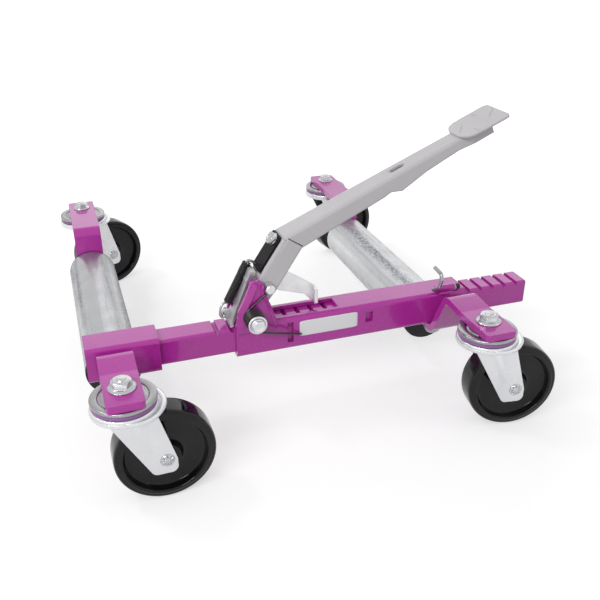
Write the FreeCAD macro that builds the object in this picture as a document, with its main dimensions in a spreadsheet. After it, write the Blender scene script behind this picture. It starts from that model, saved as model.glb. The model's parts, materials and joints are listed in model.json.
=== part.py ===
"""Vehicle positioning jack: two rollers on four casters, drawn together by a ratchet pedal.

X runs along the rail to the right, Y away from the pedal side, Z up from the floor.
The origin lies on the floor, below the rail and midway between the rollers.
"""
import FreeCAD, Part
import Sketcher
import math
import os
import re

SIZES = {
    # rail: outer tube, sleeve and the notched bar that slides in the tube
    "rail_height": 97.5, "tube_side": 40, "tube_wall": 4.5, "tube_corner": 5,
    "tube_left": 61, "tube_right": 223, "sleeve_left": 222.6, "sleeve_right": 145,
    "slide_gap": 0.3, "rack_wall": 6.5, "rack_corner": 3, "rack_left": 219, "rack_right": 307.6,
    "cap_thick": 3, "notch_pitch": 16.35, "notch_start": 78.8, "notch_width": 5, "notch_ramp": 2.4,
    "notch_depth": 4, "notch_count": 24,
    "slot_left": 12, "slot_right": 62, "slot_width": 22,
    "lance_reach": 1.5, "lance_width": 7, "lance_height": 25, "lance_rise": 1.5,
    "vent_reach": 97.5, "vent_width": 9, "vent_height": 13, "vent_rise": 4.5,
    # rollers and their axles
    "roller_reach": 194, "roller_height": 65.5, "roller_radius": 31, "roller_wall": 3.2,
    "roller_length": 274.6, "end_gap": 0.6, "flange_thick": 1.5, "bush_depth": 14,
    "axle_radius": 13, "axle_tail": 2, "run_gap": 0.08,
    # straps that carry the casters
    "strap_width": 36, "strap_thick": 8, "plate_bottom": 121, "foot_bend": 25.4, "riser_tilt": 63,
    "hump_tilt": 5, "hump_end": 27, "near_bolt": 116, "near_tail": 29, "inner_bend": 9, "outer_bend": 17,
    "far_overhang": 84.2, "far_tail": 26, "far_inner_bend": 5, "far_outer_bend": 12, "tail_round": 4,
    "far_drop": 14, "drop_round": 9,
    # king bolts and swivel bearings
    "king_radius": 6, "king_gap": 0.3, "head_across": 19, "head_height": 8, "flange_radius": 14.2,
    "flange_top": 10.5, "flange_height": 3, "nut_across": 17, "nut_height": 7, "nut_play": 0.4,
    "race_radius": 29.8, "race_height": 4, "race_bevel": 1.2, "lip_drop": 7.6, "lip_width": 2.8,
    "seal_radius": 31.3, "seal_drop": 3.5, "seal_height": 7.2, "seal_round": 1,
    "crown_radius": 33, "crown_drop": 15, "rim_drop": 11, "neck_drop": 4.5, "neck_radius": 26,
    # forks
    "fork_trail": 32, "fork_width": 41.5, "leg_thick": 3.2, "leg_front": 21, "leg_back": 26,
    "toe_front": 10, "toe_back": 14, "toe_drop": 15.5, "toe_round": 7, "skirt_thick": 3.4, "skirt_round": 5,
    "pin_radius": 5, "pin_head": 7.5, "pin_head_thick": 2.5,
    "left_near_yaw": -1, "right_near_yaw": 9, "left_far_yaw": -20, "right_far_yaw": -12,
    # wheels
    "wheel_radius": 50.8, "wheel_width": 30.5, "hub_width": 34.4, "hub_radius": 8,
    # pedal ears, pivot and hold pawl pin
    "pivot_left": 43, "pivot_rise": 12.5, "pivot_radius": 6, "bush_radius": 8.5, "ear_play": 0.3,
    "ear_left": 61.5, "ear_width": 46.5, "ear_drop": 7.5, "ear_height": 61, "ear_thick": 4,
    "ear_round": 6.4, "collar_radius": 7.8, "collar_thick": 2.5, "spring_span": 20.5,
    "washer_radius": 10.5, "washer_thick": 2, "pivot_across": 13, "pivot_head": 5,
    "pivot_nut_across": 18, "pivot_nut": 8,
    "hold_run": 3, "hold_rise": 34.5, "hold_pin_radius": 3, "hold_pin_head": 3.8, "hold_head_thick": 0.9,
    # pedal
    "elbow_run": 39, "elbow_rise": 82, "arm_tilt": 23.5, "arm_width": 32, "arm_tip_width": 25,
    "arm_sheet": 3, "arm_bend": 3.5,
    "arm_length": 262, "arm_depth": 20.8, "seam_run": 13.6, "seam_drop": 20.4,
    "knee_run": 29.6, "knee_rise": 23, "lobe_radius": 11.4, "lobe_round": 10.8,
    "back_tilt": 56.1, "back_length": 38.5, "pocket_reach": 60,
    "oval_run": 148.5, "oval_length": 18, "oval_width": 7,
    "foot_lap": 40, "foot_length": 58, "foot_width": 52, "foot_corner": 6, "foot_sheet": 2,
    # drive pawl
    "pin_run": 20.5, "pin_rise": 29.5, "pawl_pin_radius": 5.5, "pawl_pin_out": 12,
    "pawl_reach": 61.5, "pawl_thick": 3.5, "pawl_near": 6, "tooth_far": 5.5, "tooth_lift": 10.3,
    "tip_gap": 0.7, "eye_round": 6, "pawl_hub": 8.4, "hub_half": 10.5,
    # hold pawl
    "hold_reach": 26, "hold_near": 12, "hold_far": 0.3, "hold_wide": 10.5, "knuckle_radius": 6,
    "lug_thick": 3.4, "lug_hole": 2.1, "chain_offset": 6, "lug_run": 28.5, "lug_rise": 41.9,
    "lug_half": 4.7,
    # release strap, its bolt and the drawbar spring
    "band_length": 45.2, "band_lap": 7.2, "band_thick": 2.5, "band_width": 26, "band_corner": 3,
    "eye_back": 3.6, "eye_hole": 2.1, "elbow_bolt_run": 30.5, "elbow_bolt_radius": 4,
    "elbow_across": 13, "elbow_head": 6, "elbow_shank": 9,
    "ring_radius": 3.9, "ring_wire": 1, "coil_radius": 4.2, "coil_wire": 0.9, "coil_pitch": 2.5,
    "coil_margin": 15, "coil_turns": 20, "coil_tilt": 64.5, "hook_tail": 2.5,
    "cross_half": 4.2, "shank_shift": 1.25, "foot_turn": 1.6, "loop_sweep": 225,
    # torsion spring
    "twist_radius": 9.9, "twist_wire": 1.2, "twist_pitch": 3, "twist_turns": 5, "twist_start": 1.7,
    "leg_gap": 0.35, "leg_run": 12, "rest_reach": 14, "rest_drop": 21.5,
    # latch for the lowered pedal
    "barrel_right": 207, "barrel_radius": 4.5, "latch_inset": 3, "latch_lift": 4.2,
    "rod_radius": 2.3, "latch_washer_radius": 3.8, "latch_washer_thick": 1.6, "latch_cap_radius": 3.5,
    "latch_cap_length": 5, "hook_left": 179, "hook_bend": 4, "hook_width": 20, "hook_height": 30.3,
}

# outlines as shares of the width and height that each piece is given above
EAR_SHARES = ((0, 0), (1, 0), (1, .148), (.841, .521), (.699, .77), (.688, 1), (.398, 1),
              (.247, .718), (.065, .443), (0, .13))
FLANGE_SHARES = ((1, .68), (.91, .69), (.83, .59), (.668, .721), (.538, 1), (.492, .75),
                 (.456, .817))
PAWL_SHARES = ((-.13, -.164), (-.138, .11), (0, .22), (.358, .252), (.972, -.46), (1, -.56), (1, -1),
               (.93, -1),
               (.776, -.704), (.293, -.444), (.065, -.225))
TOOTH_SHARES = ((.935, -.5), (1, -.52), (1, -1), (.935, -1))
HOLD_SHARES = ((-.008, .264), (.223, .241), (-.758, -.849), (-.831, -.91), (-.831, -1), (-1, -1),
               (-.981, -.91), (-.896, -.814))
SHOE_SHARES = ((-.74, -.68), (-.62, -.7), (-.758, -.849), (-.831, -.91), (-.831, -1), (-1, -1),
               (-.981, -.91), (-.896, -.814))
LUG_SHARES = ((1.2, -1), (2.4, 1), (0, 1), (-1, 0), (0, -1))
FOOT_SHARES = ((0, .34), (.03, .6), (.1, .84), (.22, .97), (.4, 1), (1, 1))
WHEEL_SHARES = ((.295, 1.128), (.305, 1.016), (.345, .59), (.59, .492), (.748, .754), (.787, .957),
                (.856, 1), (.925, .977), (.976, .866), (1, .682))
HOOK_SHARES = ((0, 0), (-.8, .39), (-1, .72), (-.88, .95), (-.1, 1))

doc = FreeCAD.newDocument("positioning_jack")
sheet = doc.addObject("Spreadsheet::Sheet", "Sizes")
for row, (word, number) in enumerate(SIZES.items(), 1):
    sheet.set(f"A{row}", word)
    sheet.set(f"B{row}", str(number))
    sheet.setAlias(f"B{row}", word)
doc.recompute()

VECTOR = FreeCAD.Vector
NODES = []
FULL_TURN = 360
AXES = {"X": VECTOR(1, 0, 0), "Y": VECTOR(0, 1, 0), "Z": VECTOR(0, 0, 1)}

# heights and places that several pieces share
TUBE_TOP = "(rail_height + tube_side / 2)"
TUBE_FOOT = "(rail_height - tube_side / 2)"
BORE_SIDE = "(tube_side - 2 * tube_wall)"
RACK_SIDE = f"({BORE_SIDE} - 2 * slide_gap)"
FAR_FACE = "(tube_side / 2 + 2 * end_gap + roller_length)"
FAR_BOLT = f"({FAR_FACE} + strap_thick + far_overhang)"
PLATE_TOP = "(plate_bottom + strap_thick)"
FOOT_START = "(arm_length - foot_lap)"
PIVOT_Z = f"({TUBE_TOP} + pivot_rise)"
ELBOW = ("(elbow_run - pivot_left)", f"({PIVOT_Z} + elbow_rise)")
BACK_FOOT = (f"({ELBOW[0]} - back_length * cos(back_tilt))",
             f"({ELBOW[1]} - back_length * sin(back_tilt))")
PAWL_PIN = ("(pin_run - pivot_left)", f"({PIVOT_Z} + pin_rise)")
HOLD_PIN = ("(hold_run - pivot_left)", f"({PIVOT_Z} + hold_rise)")
TIP_Z = f"(rail_height + {RACK_SIDE} / 2 + tip_gap)"
TOOTH_Z = f"(rail_height + {RACK_SIDE} / 2 + tooth_lift)"


def bound(text):
    """The expression with each sheet word given its sheet."""
    return re.sub(r"[a-z]\w*", lambda m: "Sizes." + m.group() if m.group() in SIZES else m.group(),
                  str(text))


def value(text):
    """The number that an expression has now."""
    return float(sheet.evalExpression(bound(text)))


def place(piece, at=("0", "0", "0"), axis=None, angle="0"):
    """Bind a piece's position, and its turn about one axis, to the sheet."""
    if axis:
        piece.Placement.Rotation = FreeCAD.Rotation(AXES[axis], value(angle))
        if not re.fullmatch(r"-?\d+", angle):
            piece.setExpression("Placement.Rotation.Angle", bound(angle))
            piece.Placement.Rotation.Axis = AXES[axis]
    for word, text in zip("xyz", at):
        if text != "0":
            piece.setExpression(f"Placement.Base.{word}", bound(text))
    return piece


def sketch(body, plane, points, lift="0"):
    """A closed outline whose corners are each held by bound distances."""
    made = body.newObject("Sketcher::SketchObject", body.Name + "_outline")
    origin = next(o for o in body.Origin.OriginFeatures if o.Role == plane + "_Plane")
    made.AttachmentSupport = [(origin, "")]
    made.MapMode = "FlatFace"
    if lift != "0":
        made.setExpression("AttachmentOffset.Base.z", bound(lift))
    spots = [(value(a), value(b)) for a, b in points]
    count = len(spots)
    ends = [(VECTOR(*spots[i], 0), VECTOR(*spots[(i + 1) % count], 0)) for i in range(count)]
    made.addGeometry([Part.LineSegment(*pair) for pair in ends], False)
    made.addConstraint([Sketcher.Constraint("Coincident", i, 2, (i + 1) % count,
                                            1) for i in range(count)])
    for i, (texts, spot) in enumerate(zip(points, spots)):
        for kind, text, number, line in zip(("DistanceX", "DistanceY"), texts, spot, (-2, -1)):
            if abs(number) < 1e-7:
                made.addConstraint(Sketcher.Constraint("PointOnObject", i, 1, line))
                continue
            k = made.addConstraint(Sketcher.Constraint(kind, -1, 1, i, 1, number))
            made.setExpression(f"Constraints[{k}]", bound(text))
    return made


def corner_edges(shape, plane, spot):
    """Edges that stand square to the plane on one corner of an outline."""
    pick = {"XY": (0, 1), "XZ": (0, 2), "YZ": (1, 2)}[plane]
    names = []
    for i, edge in enumerate(shape.Edges, 1):
        ends = [tuple(v.Point) for v in edge.Vertexes]
        if len(ends) == 2 and all(math.dist([p[k] for k in pick], spot) < 1e-4 for p in ends):
            names.append(f"Edge{i}")
    return names


def soften(body, radius, names):
    """Round the named edges of a body's last feature."""
    tip = body.Tip
    made = body.newObject("PartDesign::Fillet", body.Name + "_round")
    made.Base = (tip, names)
    made.setExpression("Radius", bound(radius))
    doc.recompute()
    return body


def edges_along(body, axis, test):
    """Names of the straight edges along an axis whose middle passes the test."""
    found = []
    for i, edge in enumerate(body.Tip.Shape.Edges, 1):
        if isinstance(edge.Curve,
                      Part.Line) and abs(edge.tangentAt(edge.FirstParameter).dot(AXES[axis])) > .999:
            if test(edge.CenterOfMass):
                found.append(f"Edge{i}")
    return found


def plate(name, plane, points, thick, at=("0", "0", "0"), axis=None, angle="0", rounds=(), lift="0"):
    """An outline padded evenly to both sides of its plane; rounds pairs a radius with corner numbers."""
    body = doc.addObject("PartDesign::Body", name)
    pad = body.newObject("PartDesign::Pad", name + "_pad")
    pad.Profile = sketch(body, plane, points, lift)
    pad.setExpression("Length", bound(thick))
    pad.SideType = "Symmetric"
    doc.recompute()
    for radius, corners in rounds:
        names = []
        for c in corners:
            names += corner_edges(body.Tip.Shape, plane, (value(points[c][0]), value(points[c][1])))
        soften(body, radius, names)
    return place(body, at, axis, angle)


def hollow(body, plane, points, thick):
    """Take an outline out of a body, evenly to both sides of the plane."""
    pocket = body.newObject("PartDesign::Pocket", body.Name + "_hollow")
    pocket.Profile = sketch(body, plane, points)
    pocket.setExpression("Length", bound(thick))
    pocket.SideType = "Symmetric"
    doc.recompute()
    return pocket


def turned(name, points, axis="Z", at=("0", "0", "0"), turn=None, angle="0"):
    """A profile of (radius, height) pairs turned once about the axis."""
    body = doc.addObject("PartDesign::Body", name)
    ring = body.newObject("PartDesign::Revolution", name + "_turn")
    profile = sketch(body, {"Z": "XZ", "Y": "XY"}[axis], points)
    ring.Profile = profile
    ring.ReferenceAxis = (profile, ["V_Axis"])
    ring.Angle = FULL_TURN
    doc.recompute()
    return place(body, at, turn, angle)


def box(name, size, at):
    """A block given by its size and its lowest corner."""
    made = doc.addObject("Part::Box", name)
    for word, text in zip(("Length", "Width", "Height"), size):
        made.setExpression(word, bound(text))
    return place(made, at)


def rod(name, radius, length, at, axis="Z", kind="Part::Cylinder"):
    """A cylinder that grows along an axis from its start."""
    made = doc.addObject(kind, name)
    made.setExpression("Radius", bound(radius))
    made.setExpression("Height", bound(length))
    if axis == "Z":
        return place(made, at)
    return place(made, at, *{"X": ("Y", "90"), "Y": ("X", "-90")}[axis])


def hexagon(name, across, height, at, axis="Z"):
    """A six-sided head given by its width across the flats."""
    made = doc.addObject("Part::Prism", name)
    made.Polygon = 6
    made.setExpression("Circumradius", bound(f"{across} / sqrt(3)"))
    made.setExpression("Height", bound(height))
    return place(made, at) if axis == "Z" else place(made, at, "X", "-90")


def fuse(name, *pieces):
    """Several pieces joined into one."""
    made = doc.addObject("Part::MultiFuse", name)
    made.Shapes = list(pieces)
    return made


def cut(name, base, *tools):
    """A piece with tools taken away from it."""
    made = doc.addObject("Part::Cut", name)
    made.Base = base
    made.Tool = tools[0] if len(tools) == 1 else fuse(name + "_tools", *tools)
    return made


def common(name, *pieces):
    """What several pieces share."""
    made = doc.addObject("Part::MultiCommon", name)
    made.Shapes = list(pieces)
    return made


def group(name, *pieces):
    """Identical pieces kept as separate solids of one node."""
    made = doc.addObject("Part::Compound", name)
    made.Links = list(pieces)
    return made


def node(piece, label):
    """Enter a finished piece in the list that is written out."""
    piece.Label = label
    NODES.append((label, piece))
    return piece


def spread(shares, wide, high, x="0", z="0"):
    """An outline from shares of a width and a height."""
    return [(f"{x} + ({a}) * {wide}", f"{z} + ({b}) * {high}") for a, b in shares]


def square(side, middle="rail_height"):
    """The four corners of a square about the rail's axis."""
    half = f"{side} / 2"
    return [(f"-({half})", f"{middle} - {half}"), (half, f"{middle} - {half}"),
            (half, f"{middle} + {half}"), (f"-({half})", f"{middle} + {half}")]


def square_tube(name, left, right, side, bore, corner):
    """A square tube along the rail between two places."""
    middle = f"(({left}) + ({right})) / 2"
    length = f"({right}) - ({left})"
    body = plate(name, "YZ", square(side), length, (middle, "0", "0"), rounds=((corner, (0, 1, 2, 3)),))
    hollow(body, "YZ", square(bore), f"2 * ({length})")
    return body


# outer tube: the slot lets the drive pawl down to the rack, the front slits take the spring leg
tube = square_tube("tube_blank", "-tube_left", "tube_right", "tube_side", BORE_SIDE, "tube_corner")
slot = box("tube_slot", ("slot_left + slot_right", "slot_width", "2 * tube_wall"),
           ("-slot_left", "-slot_width / 2", f"{TUBE_TOP} - 1.5 * tube_wall"))
lance = box("tube_lance", ("lance_width", "2 * tube_wall", "lance_height"),
            ("lance_reach - lance_width / 2", "-tube_side / 2 - tube_wall / 2",
             "rail_height + lance_rise - lance_height / 2"))
vent = box("tube_vent", ("vent_width", "2 * tube_wall", "vent_height"),
           ("vent_reach - vent_width / 2", "-tube_side / 2 - tube_wall / 2",
            "rail_height + vent_rise - vent_height / 2"))
node(cut("outer_tube_cut", tube, slot, lance, vent), "outer_tube")

# sleeve, rack bar and end cap of the sliding half
node(square_tube("sleeve", "-sleeve_left", "-sleeve_right", "tube_side", RACK_SIDE, "tube_corner"),
     "left_sleeve")
rack = square_tube("rack", "-rack_left", "rack_right", RACK_SIDE, f"({RACK_SIDE} - 2 * rack_wall)",
                   "rack_corner")
RACK_TOP = f"rail_height + {RACK_SIDE} / 2"
RACK_SHIFT = "((rack_left - rack_right) / 2 - notch_start)"
notch = hollow(rack, "XZ", [
    (RACK_SHIFT, f"{RACK_TOP} + notch_depth"), (RACK_SHIFT, f"{RACK_TOP} - notch_depth"),
    (f"{RACK_SHIFT} - notch_width + notch_ramp", f"{RACK_TOP} - notch_depth"),
    (f"{RACK_SHIFT} - notch_width", RACK_TOP), (f"{RACK_SHIFT} - notch_width",
                                                f"{RACK_TOP} + notch_depth")],
    "2 * tube_side")
row = rack.newObject("PartDesign::LinearPattern", "rack_notches")
row.Originals = [notch]
row.Direction = (notch.Profile[0], ["H_Axis"])
row.setExpression("Length", bound("notch_pitch * (notch_count - 1)"))
row.setExpression("Occurrences", bound("notch_count"))
rack.Tip = row
node(rack, "rack_bar")
cap = plate("rack_cap", "YZ", square(RACK_SIDE), "cap_thick", ("rack_right + cap_thick / 2", "0", "0"),
            rounds=(("rack_corner", (0, 1, 2, 3)),))
CAP_FACE = value("cap_thick / 2")
soften(cap, "cap_thick * 0.7", [f"Edge{i}" for i, e in enumerate(cap.Tip.Shape.Edges, 1)
                                if all(abs(v.X - CAP_FACE) < 1e-6 for v in e.Vertexes)])
node(cap, "rack_end_cap")

# straps: the near one passes below the rail and rises in front of it, the far one rises behind the roller
RISE = f"({PLATE_TOP} - {TUBE_FOOT})"
HUMP = ("(near_bolt - hump_end)", "(plate_bottom + strap_thick / 2)")
CREST_RISE = f"(foot_bend * tan(riser_tilt) + {RISE} + {HUMP[0]} * tan(hump_tilt))"
CREST_RUN = f"({CREST_RISE} / (tan(riser_tilt) + tan(hump_tilt)))"
CREST = (CREST_RUN, f"({HUMP[1]} + ({HUMP[0]} - {CREST_RUN}) * tan(hump_tilt))")
FOOT = ("foot_bend", f"({TUBE_FOOT} - strap_thick / 2)")


def mitre(corner, before, after, side):
    """A corner of a bent strip's upper (1) or lower (-1) face, from its middle line and the tilts there."""
    lean, opening = f"((({before}) + ({after})) / 2)", f"((({after}) - ({before})) / 2)"
    step = f"({side} * strap_thick / 2 / cos({opening}))"
    return f"{corner[0]} - {step} * sin({lean})", f"{corner[1]} + {step} * cos({lean})"


BENDS = ((FOOT, "0", "riser_tilt"), (CREST, "riser_tilt", "-hump_tilt"), (HUMP, "-hump_tilt", "0"))
NEAR_POINTS = [("axle_tail", TUBE_FOOT), *(mitre(*bend, 1) for bend in BENDS),
               ("near_bolt + near_tail", PLATE_TOP),
               ("near_bolt + near_tail", "plate_bottom"), *(mitre(*bend,
                       -1) for bend in reversed(BENDS)),
               ("axle_tail", f"{TUBE_FOOT} - strap_thick")]
FAR_POINTS = [
    (FAR_FACE, "roller_height - far_drop"), (FAR_FACE, PLATE_TOP), (f"{FAR_BOLT} + far_tail",
            PLATE_TOP),
    (f"{FAR_BOLT} + far_tail", "plate_bottom"), (f"{FAR_FACE} + strap_thick", "plate_bottom"),
    (f"{FAR_FACE} + strap_thick", "roller_height - far_drop")]
for side, reach in (("right", "roller_reach"), ("left", "-roller_reach")):
    near = plate(side + "_near_blank", "YZ", NEAR_POINTS, "strap_width", (reach, "0", "0"), "Z", "180",
                 rounds=(("inner_bend", (1, 7)), ("outer_bend", (2, 8))))
    tail = value("near_bolt + near_tail")
    soften(near, "tail_round", edges_along(near, "Z", lambda p: abs(p.y - tail) < 1e-3))
    hole = rod(side + "_near_hole", "king_radius + king_gap", "2 * strap_thick",
               (reach, "-near_bolt", "plate_bottom - strap_thick / 2"))
    node(cut(side + "_near_cut", near, hole), side + "_near_strap")
    far = plate(side + "_far_blank", "YZ", FAR_POINTS, "strap_width", (reach, "0", "0"),
                rounds=(("far_inner_bend", (4,)), ("far_outer_bend", (1,))))
    tail = value(f"{FAR_BOLT} + far_tail")
    soften(far, "tail_round", edges_along(far, "Z", lambda p: abs(p.y - tail) < 1e-3))
    drop = value("roller_height - far_drop")
    soften(far, "drop_round", edges_along(far, "Y", lambda p: abs(p.z - drop) < 1e-3))
    hole = rod(side + "_far_hole", "king_radius + king_gap", "2 * strap_thick",
               (reach, FAR_BOLT, "plate_bottom - strap_thick / 2"))
    node(cut(side + "_far_cut", far, hole), side + "_far_strap")

    # roller axle: a flat on top seats it below the rail
    bar = rod(side + "_axle_bar", "axle_radius", f"{FAR_FACE} + axle_tail",
              (reach, "-axle_tail", "roller_height"), "Y")
    seat = box(side + "_axle_flat", ("4 * axle_radius", "tube_side / 2 + end_gap / 2 + axle_tail",
                                     "axle_radius"),
               (f"{reach} - 2 * axle_radius", "-axle_tail", TUBE_FOOT))
    node(cut(side + "_axle_cut", bar, seat), side + "_roller_axle")

    # roller: a tube on two flanged bushes
    start = "tube_side / 2 + end_gap"
    skin = rod(side + "_roller_skin", "roller_radius", "roller_length - 2 * flange_thick",
               (reach, f"{start} + flange_thick", "roller_height"), "Y")
    core = rod(side + "_roller_core", "roller_radius - roller_wall", "roller_length",
               (reach, start, "roller_height"), "Y")
    node(cut(side + "_roller_cut", skin, core), side + "_roller_tube")
    bushes = []
    for end, at, sign in (("near", start, ""), ("far", f"{start} + roller_length", "-")):
        profile = [("axle_radius + run_gap", "0"), ("roller_radius", "0"),
                   ("roller_radius", f"{sign}flange_thick"),
                   ("roller_radius - roller_wall", f"{sign}flange_thick"),
                   ("roller_radius - roller_wall", f"{sign}bush_depth"), ("axle_radius + run_gap",
                           f"{sign}bush_depth")]
        bushes.append(turned(f"{side}_{end}_bush", profile, "Y", (reach, at, "roller_height")))
    node(group(side + "_bushes", *bushes), side + "_roller_bushes")

    # king bolts, top races and seal rings, near and far alike
    bolts, races, seals = [], [], []
    for end, depth in (("near", "-near_bolt"), ("far", FAR_BOLT)):
        tag = f"{side}_{end}"
        collar = doc.addObject("Part::Cone", tag + "_bolt_flange")
        for word, text in (("Radius1", "flange_radius"), ("Radius2", "flange_top"),
                           ("Height", "flange_height")):
            collar.setExpression(word, bound(text))
        place(collar, (reach, depth, PLATE_TOP))
        head = hexagon(tag + "_bolt_head", "head_across", "head_height",
                       (reach, depth, PLATE_TOP + " + flange_height"))
        foot = "plate_bottom - crown_drop - nut_play - nut_height"
        shank = rod(tag + "_bolt_shank", "king_radius", f"{PLATE_TOP} + flange_height - ({foot})",
                    (reach, depth, foot))
        nut = hexagon(tag + "_bolt_nut", "nut_across", "nut_height", (reach, depth, foot))
        bolts.append(fuse(tag + "_bolt", collar, head, shank, nut))
        inner = "king_radius + king_gap"
        races.append(turned(tag + "_race", [
            (inner, "0"), (inner, "-race_height"), ("race_radius - lip_width", "-race_height"),
            ("race_radius - lip_width", "-lip_drop"), ("race_radius", "-lip_drop"),
            ("race_radius", "-race_bevel"), ("race_radius - race_bevel", "0")], "Z", (reach, depth,
                    "plate_bottom")))
        seals.append(turned(tag + "_seal", [
            ("race_radius", "-seal_drop"), ("seal_radius - seal_round", "-seal_drop"),
            ("seal_radius", "-seal_drop - seal_round"), ("seal_radius", "-seal_drop - seal_height"),
            ("race_radius", "-seal_drop - seal_height")], "Z", (reach, depth, "plate_bottom")))
    node(group(side + "_bolts", *bolts), side + "_king_bolts")
    node(group(side + "_races", *races), side + "_top_races")
    node(group(side + "_seals", *seals), side + "_seal_rings")

# casters, each drawn about its king bolt and then turned to the way it stands
SKIRT_Z = "plate_bottom - rim_drop - skirt_thick / 2"
LEG_POINTS = [
    ("-leg_front", SKIRT_Z), ("leg_back", SKIRT_Z), ("fork_trail + toe_front", "wheel_radius"),
    ("fork_trail + toe_front", "wheel_radius - toe_drop"), ("fork_trail - toe_back",
                                                            "wheel_radius - toe_drop")]
half_width = "wheel_width / 2"
WHEEL_POINTS = [("hub_radius", "hub_width / 2")] + spread(WHEEL_SHARES, "wheel_radius", half_width)
WHEEL_POINTS += [(r, f"-({w})") for r, w in reversed(WHEEL_POINTS)]
for tag, reach, depth in (("left_near", "-roller_reach", "-near_bolt"),
                          ("right_near", "roller_reach", "-near_bolt"),
                          ("left_far", "-roller_reach", FAR_BOLT), ("right_far", "roller_reach",
                                  FAR_BOLT)):
    yaw = f"-{tag}_yaw"
    crown = turned(tag + "_crown", [
        ("king_radius + run_gap", "plate_bottom - crown_drop"), ("crown_radius",
                "plate_bottom - crown_drop"),
        ("crown_radius", "plate_bottom - rim_drop"), ("neck_radius", "plate_bottom - rim_drop"),
        ("neck_radius", "plate_bottom - neck_drop"), ("king_radius + run_gap",
                                                      "plate_bottom - neck_drop")])
    skirt = plate(tag + "_skirt", "XY", [
        ("0", "-fork_width / 2"), ("leg_back", "-fork_width / 2"), ("leg_back", "fork_width / 2"),
        ("0", "fork_width / 2")], "skirt_thick", ("0", "0", SKIRT_Z), rounds=(("skirt_round", (1, 2)),))
    legs = [plate(f"{tag}_leg_{word}", "XZ", LEG_POINTS, "leg_thick",
                  ("0", f"{sign}(fork_width - leg_thick) / 2", "0"), rounds=(("toe_round", (3, 4)),))
            for word, sign in (("near", "-"), ("far", ""))]
    bore = rod(tag + "_king_bore", "king_radius + run_gap", "2 * crown_drop",
               ("0", "0", "plate_bottom - 2 * crown_drop"))
    eye = rod(tag + "_pin_hole", "pin_radius", "2 * fork_width",
              ("fork_trail", "-fork_width", "wheel_radius"), "Y")
    fork = cut(tag + "_fork_cut", fuse(tag + "_fork_blank", crown, skirt, *legs), bore, eye)
    node(place(fork, (reach, depth, "0"), "Z", yaw), tag + "_fork")
    hub = (f"{reach} + fork_trail * cos({tag}_yaw)", f"{depth} - fork_trail * sin({tag}_yaw)",
           "wheel_radius")
    outer = "fork_width / 2"
    node(turned(tag + "_pin", [
        ("0", f"-{outer} - pin_head_thick"), ("pin_head * 0.8", f"-{outer} - pin_head_thick"),
        ("pin_head", f"-{outer} - pin_head_thick / 2"), ("pin_head", f"-{outer}"), ("pin_radius",
                f"-{outer}"),
        ("pin_radius", outer), ("pin_head", outer), ("pin_head", f"{outer} + pin_head_thick / 2"),
        ("pin_head * 0.8", f"{outer} + pin_head_thick"), ("0", f"{outer} + pin_head_thick")],
        "Y", hub, "Z", yaw), tag + "_wheel_pin")
    node(turned(tag + "_tyre", WHEEL_POINTS, "Y", hub, "Z", yaw), tag + "_wheel")
    node(turned(tag + "_sleeve", [
        ("pin_radius + run_gap", "-hub_width / 2"), ("hub_radius", "-hub_width / 2"), ("hub_radius",
                "hub_width / 2"),
        ("pin_radius + run_gap", "hub_width / 2")], "Y", hub, "Z", yaw), tag + "_hub_bush")

# ears, pivot bolt, washer and the pin of the hold pawl
EAR_Z = f"{TUBE_TOP} - ear_drop"
EAR_Y = "tube_side / 2 + ear_thick"
for word, sign in (("near", "-"), ("far", "")):
    ear = plate(f"ear_{word}", "XZ", spread(EAR_SHARES, "ear_width", "ear_height", "-ear_left", EAR_Z),
                "ear_thick",
                ("0", f"{sign}(tube_side + ear_thick) / 2", "0"), rounds=(("ear_round", (5, 6)),))
    bolt_hole = rod(f"ear_{word}_bolt_hole", "pivot_radius", "2 * tube_side",
                    ("-pivot_left", "-tube_side", PIVOT_Z), "Y")
    pin_hole = rod(f"ear_{word}_pin_hole", "hold_pin_radius", "tube_side",
                   (HOLD_PIN[0], "-tube_side", HOLD_PIN[1]), "Y")
    node(cut(f"ear_{word}_cut", ear, bolt_hole, pin_hole), f"pedal_ear_{word}")
NEAR_END = f"-({EAR_Y}) - spring_span - washer_thick"
stem = rod("pivot_stem", "pivot_radius", f"2 * ({EAR_Y}) + spring_span + washer_thick + pivot_nut",
           ("-pivot_left", NEAR_END, PIVOT_Z), "Y")
head = hexagon("pivot_head_hex", "pivot_across", "pivot_head",
               ("-pivot_left", f"{NEAR_END} - pivot_head", PIVOT_Z), "Y")
collar = rod("pivot_collar", "collar_radius", "collar_thick",
             ("-pivot_left", f"-({EAR_Y}) - collar_thick", PIVOT_Z), "Y")
nut = hexagon("pivot_nut_hex", "pivot_nut_across", "pivot_nut", ("-pivot_left", EAR_Y, PIVOT_Z), "Y")
node(fuse("pivot_bolt", stem, head, collar, nut), "pedal_pivot_bolt")
node(turned("pivot_ring", [
    ("pivot_radius", "0"), ("washer_radius", "0"), ("washer_radius", "washer_thick"), ("pivot_radius",
            "washer_thick")],
    "Y", ("-pivot_left", NEAR_END, PIVOT_Z)), "pivot_washer")
node(turned("hold_rivet", [
    ("0", f"-({EAR_Y}) - hold_head_thick"), ("hold_pin_head", f"-({EAR_Y}) - hold_head_thick / 2"),
    ("hold_pin_head", f"-({EAR_Y})"), ("hold_pin_radius", f"-({EAR_Y})"), ("hold_pin_radius",
            "hold_far"),
    ("0", "hold_far")], "Y", (HOLD_PIN[0], "0", HOLD_PIN[1])), "hold_pawl_pin")

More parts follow.
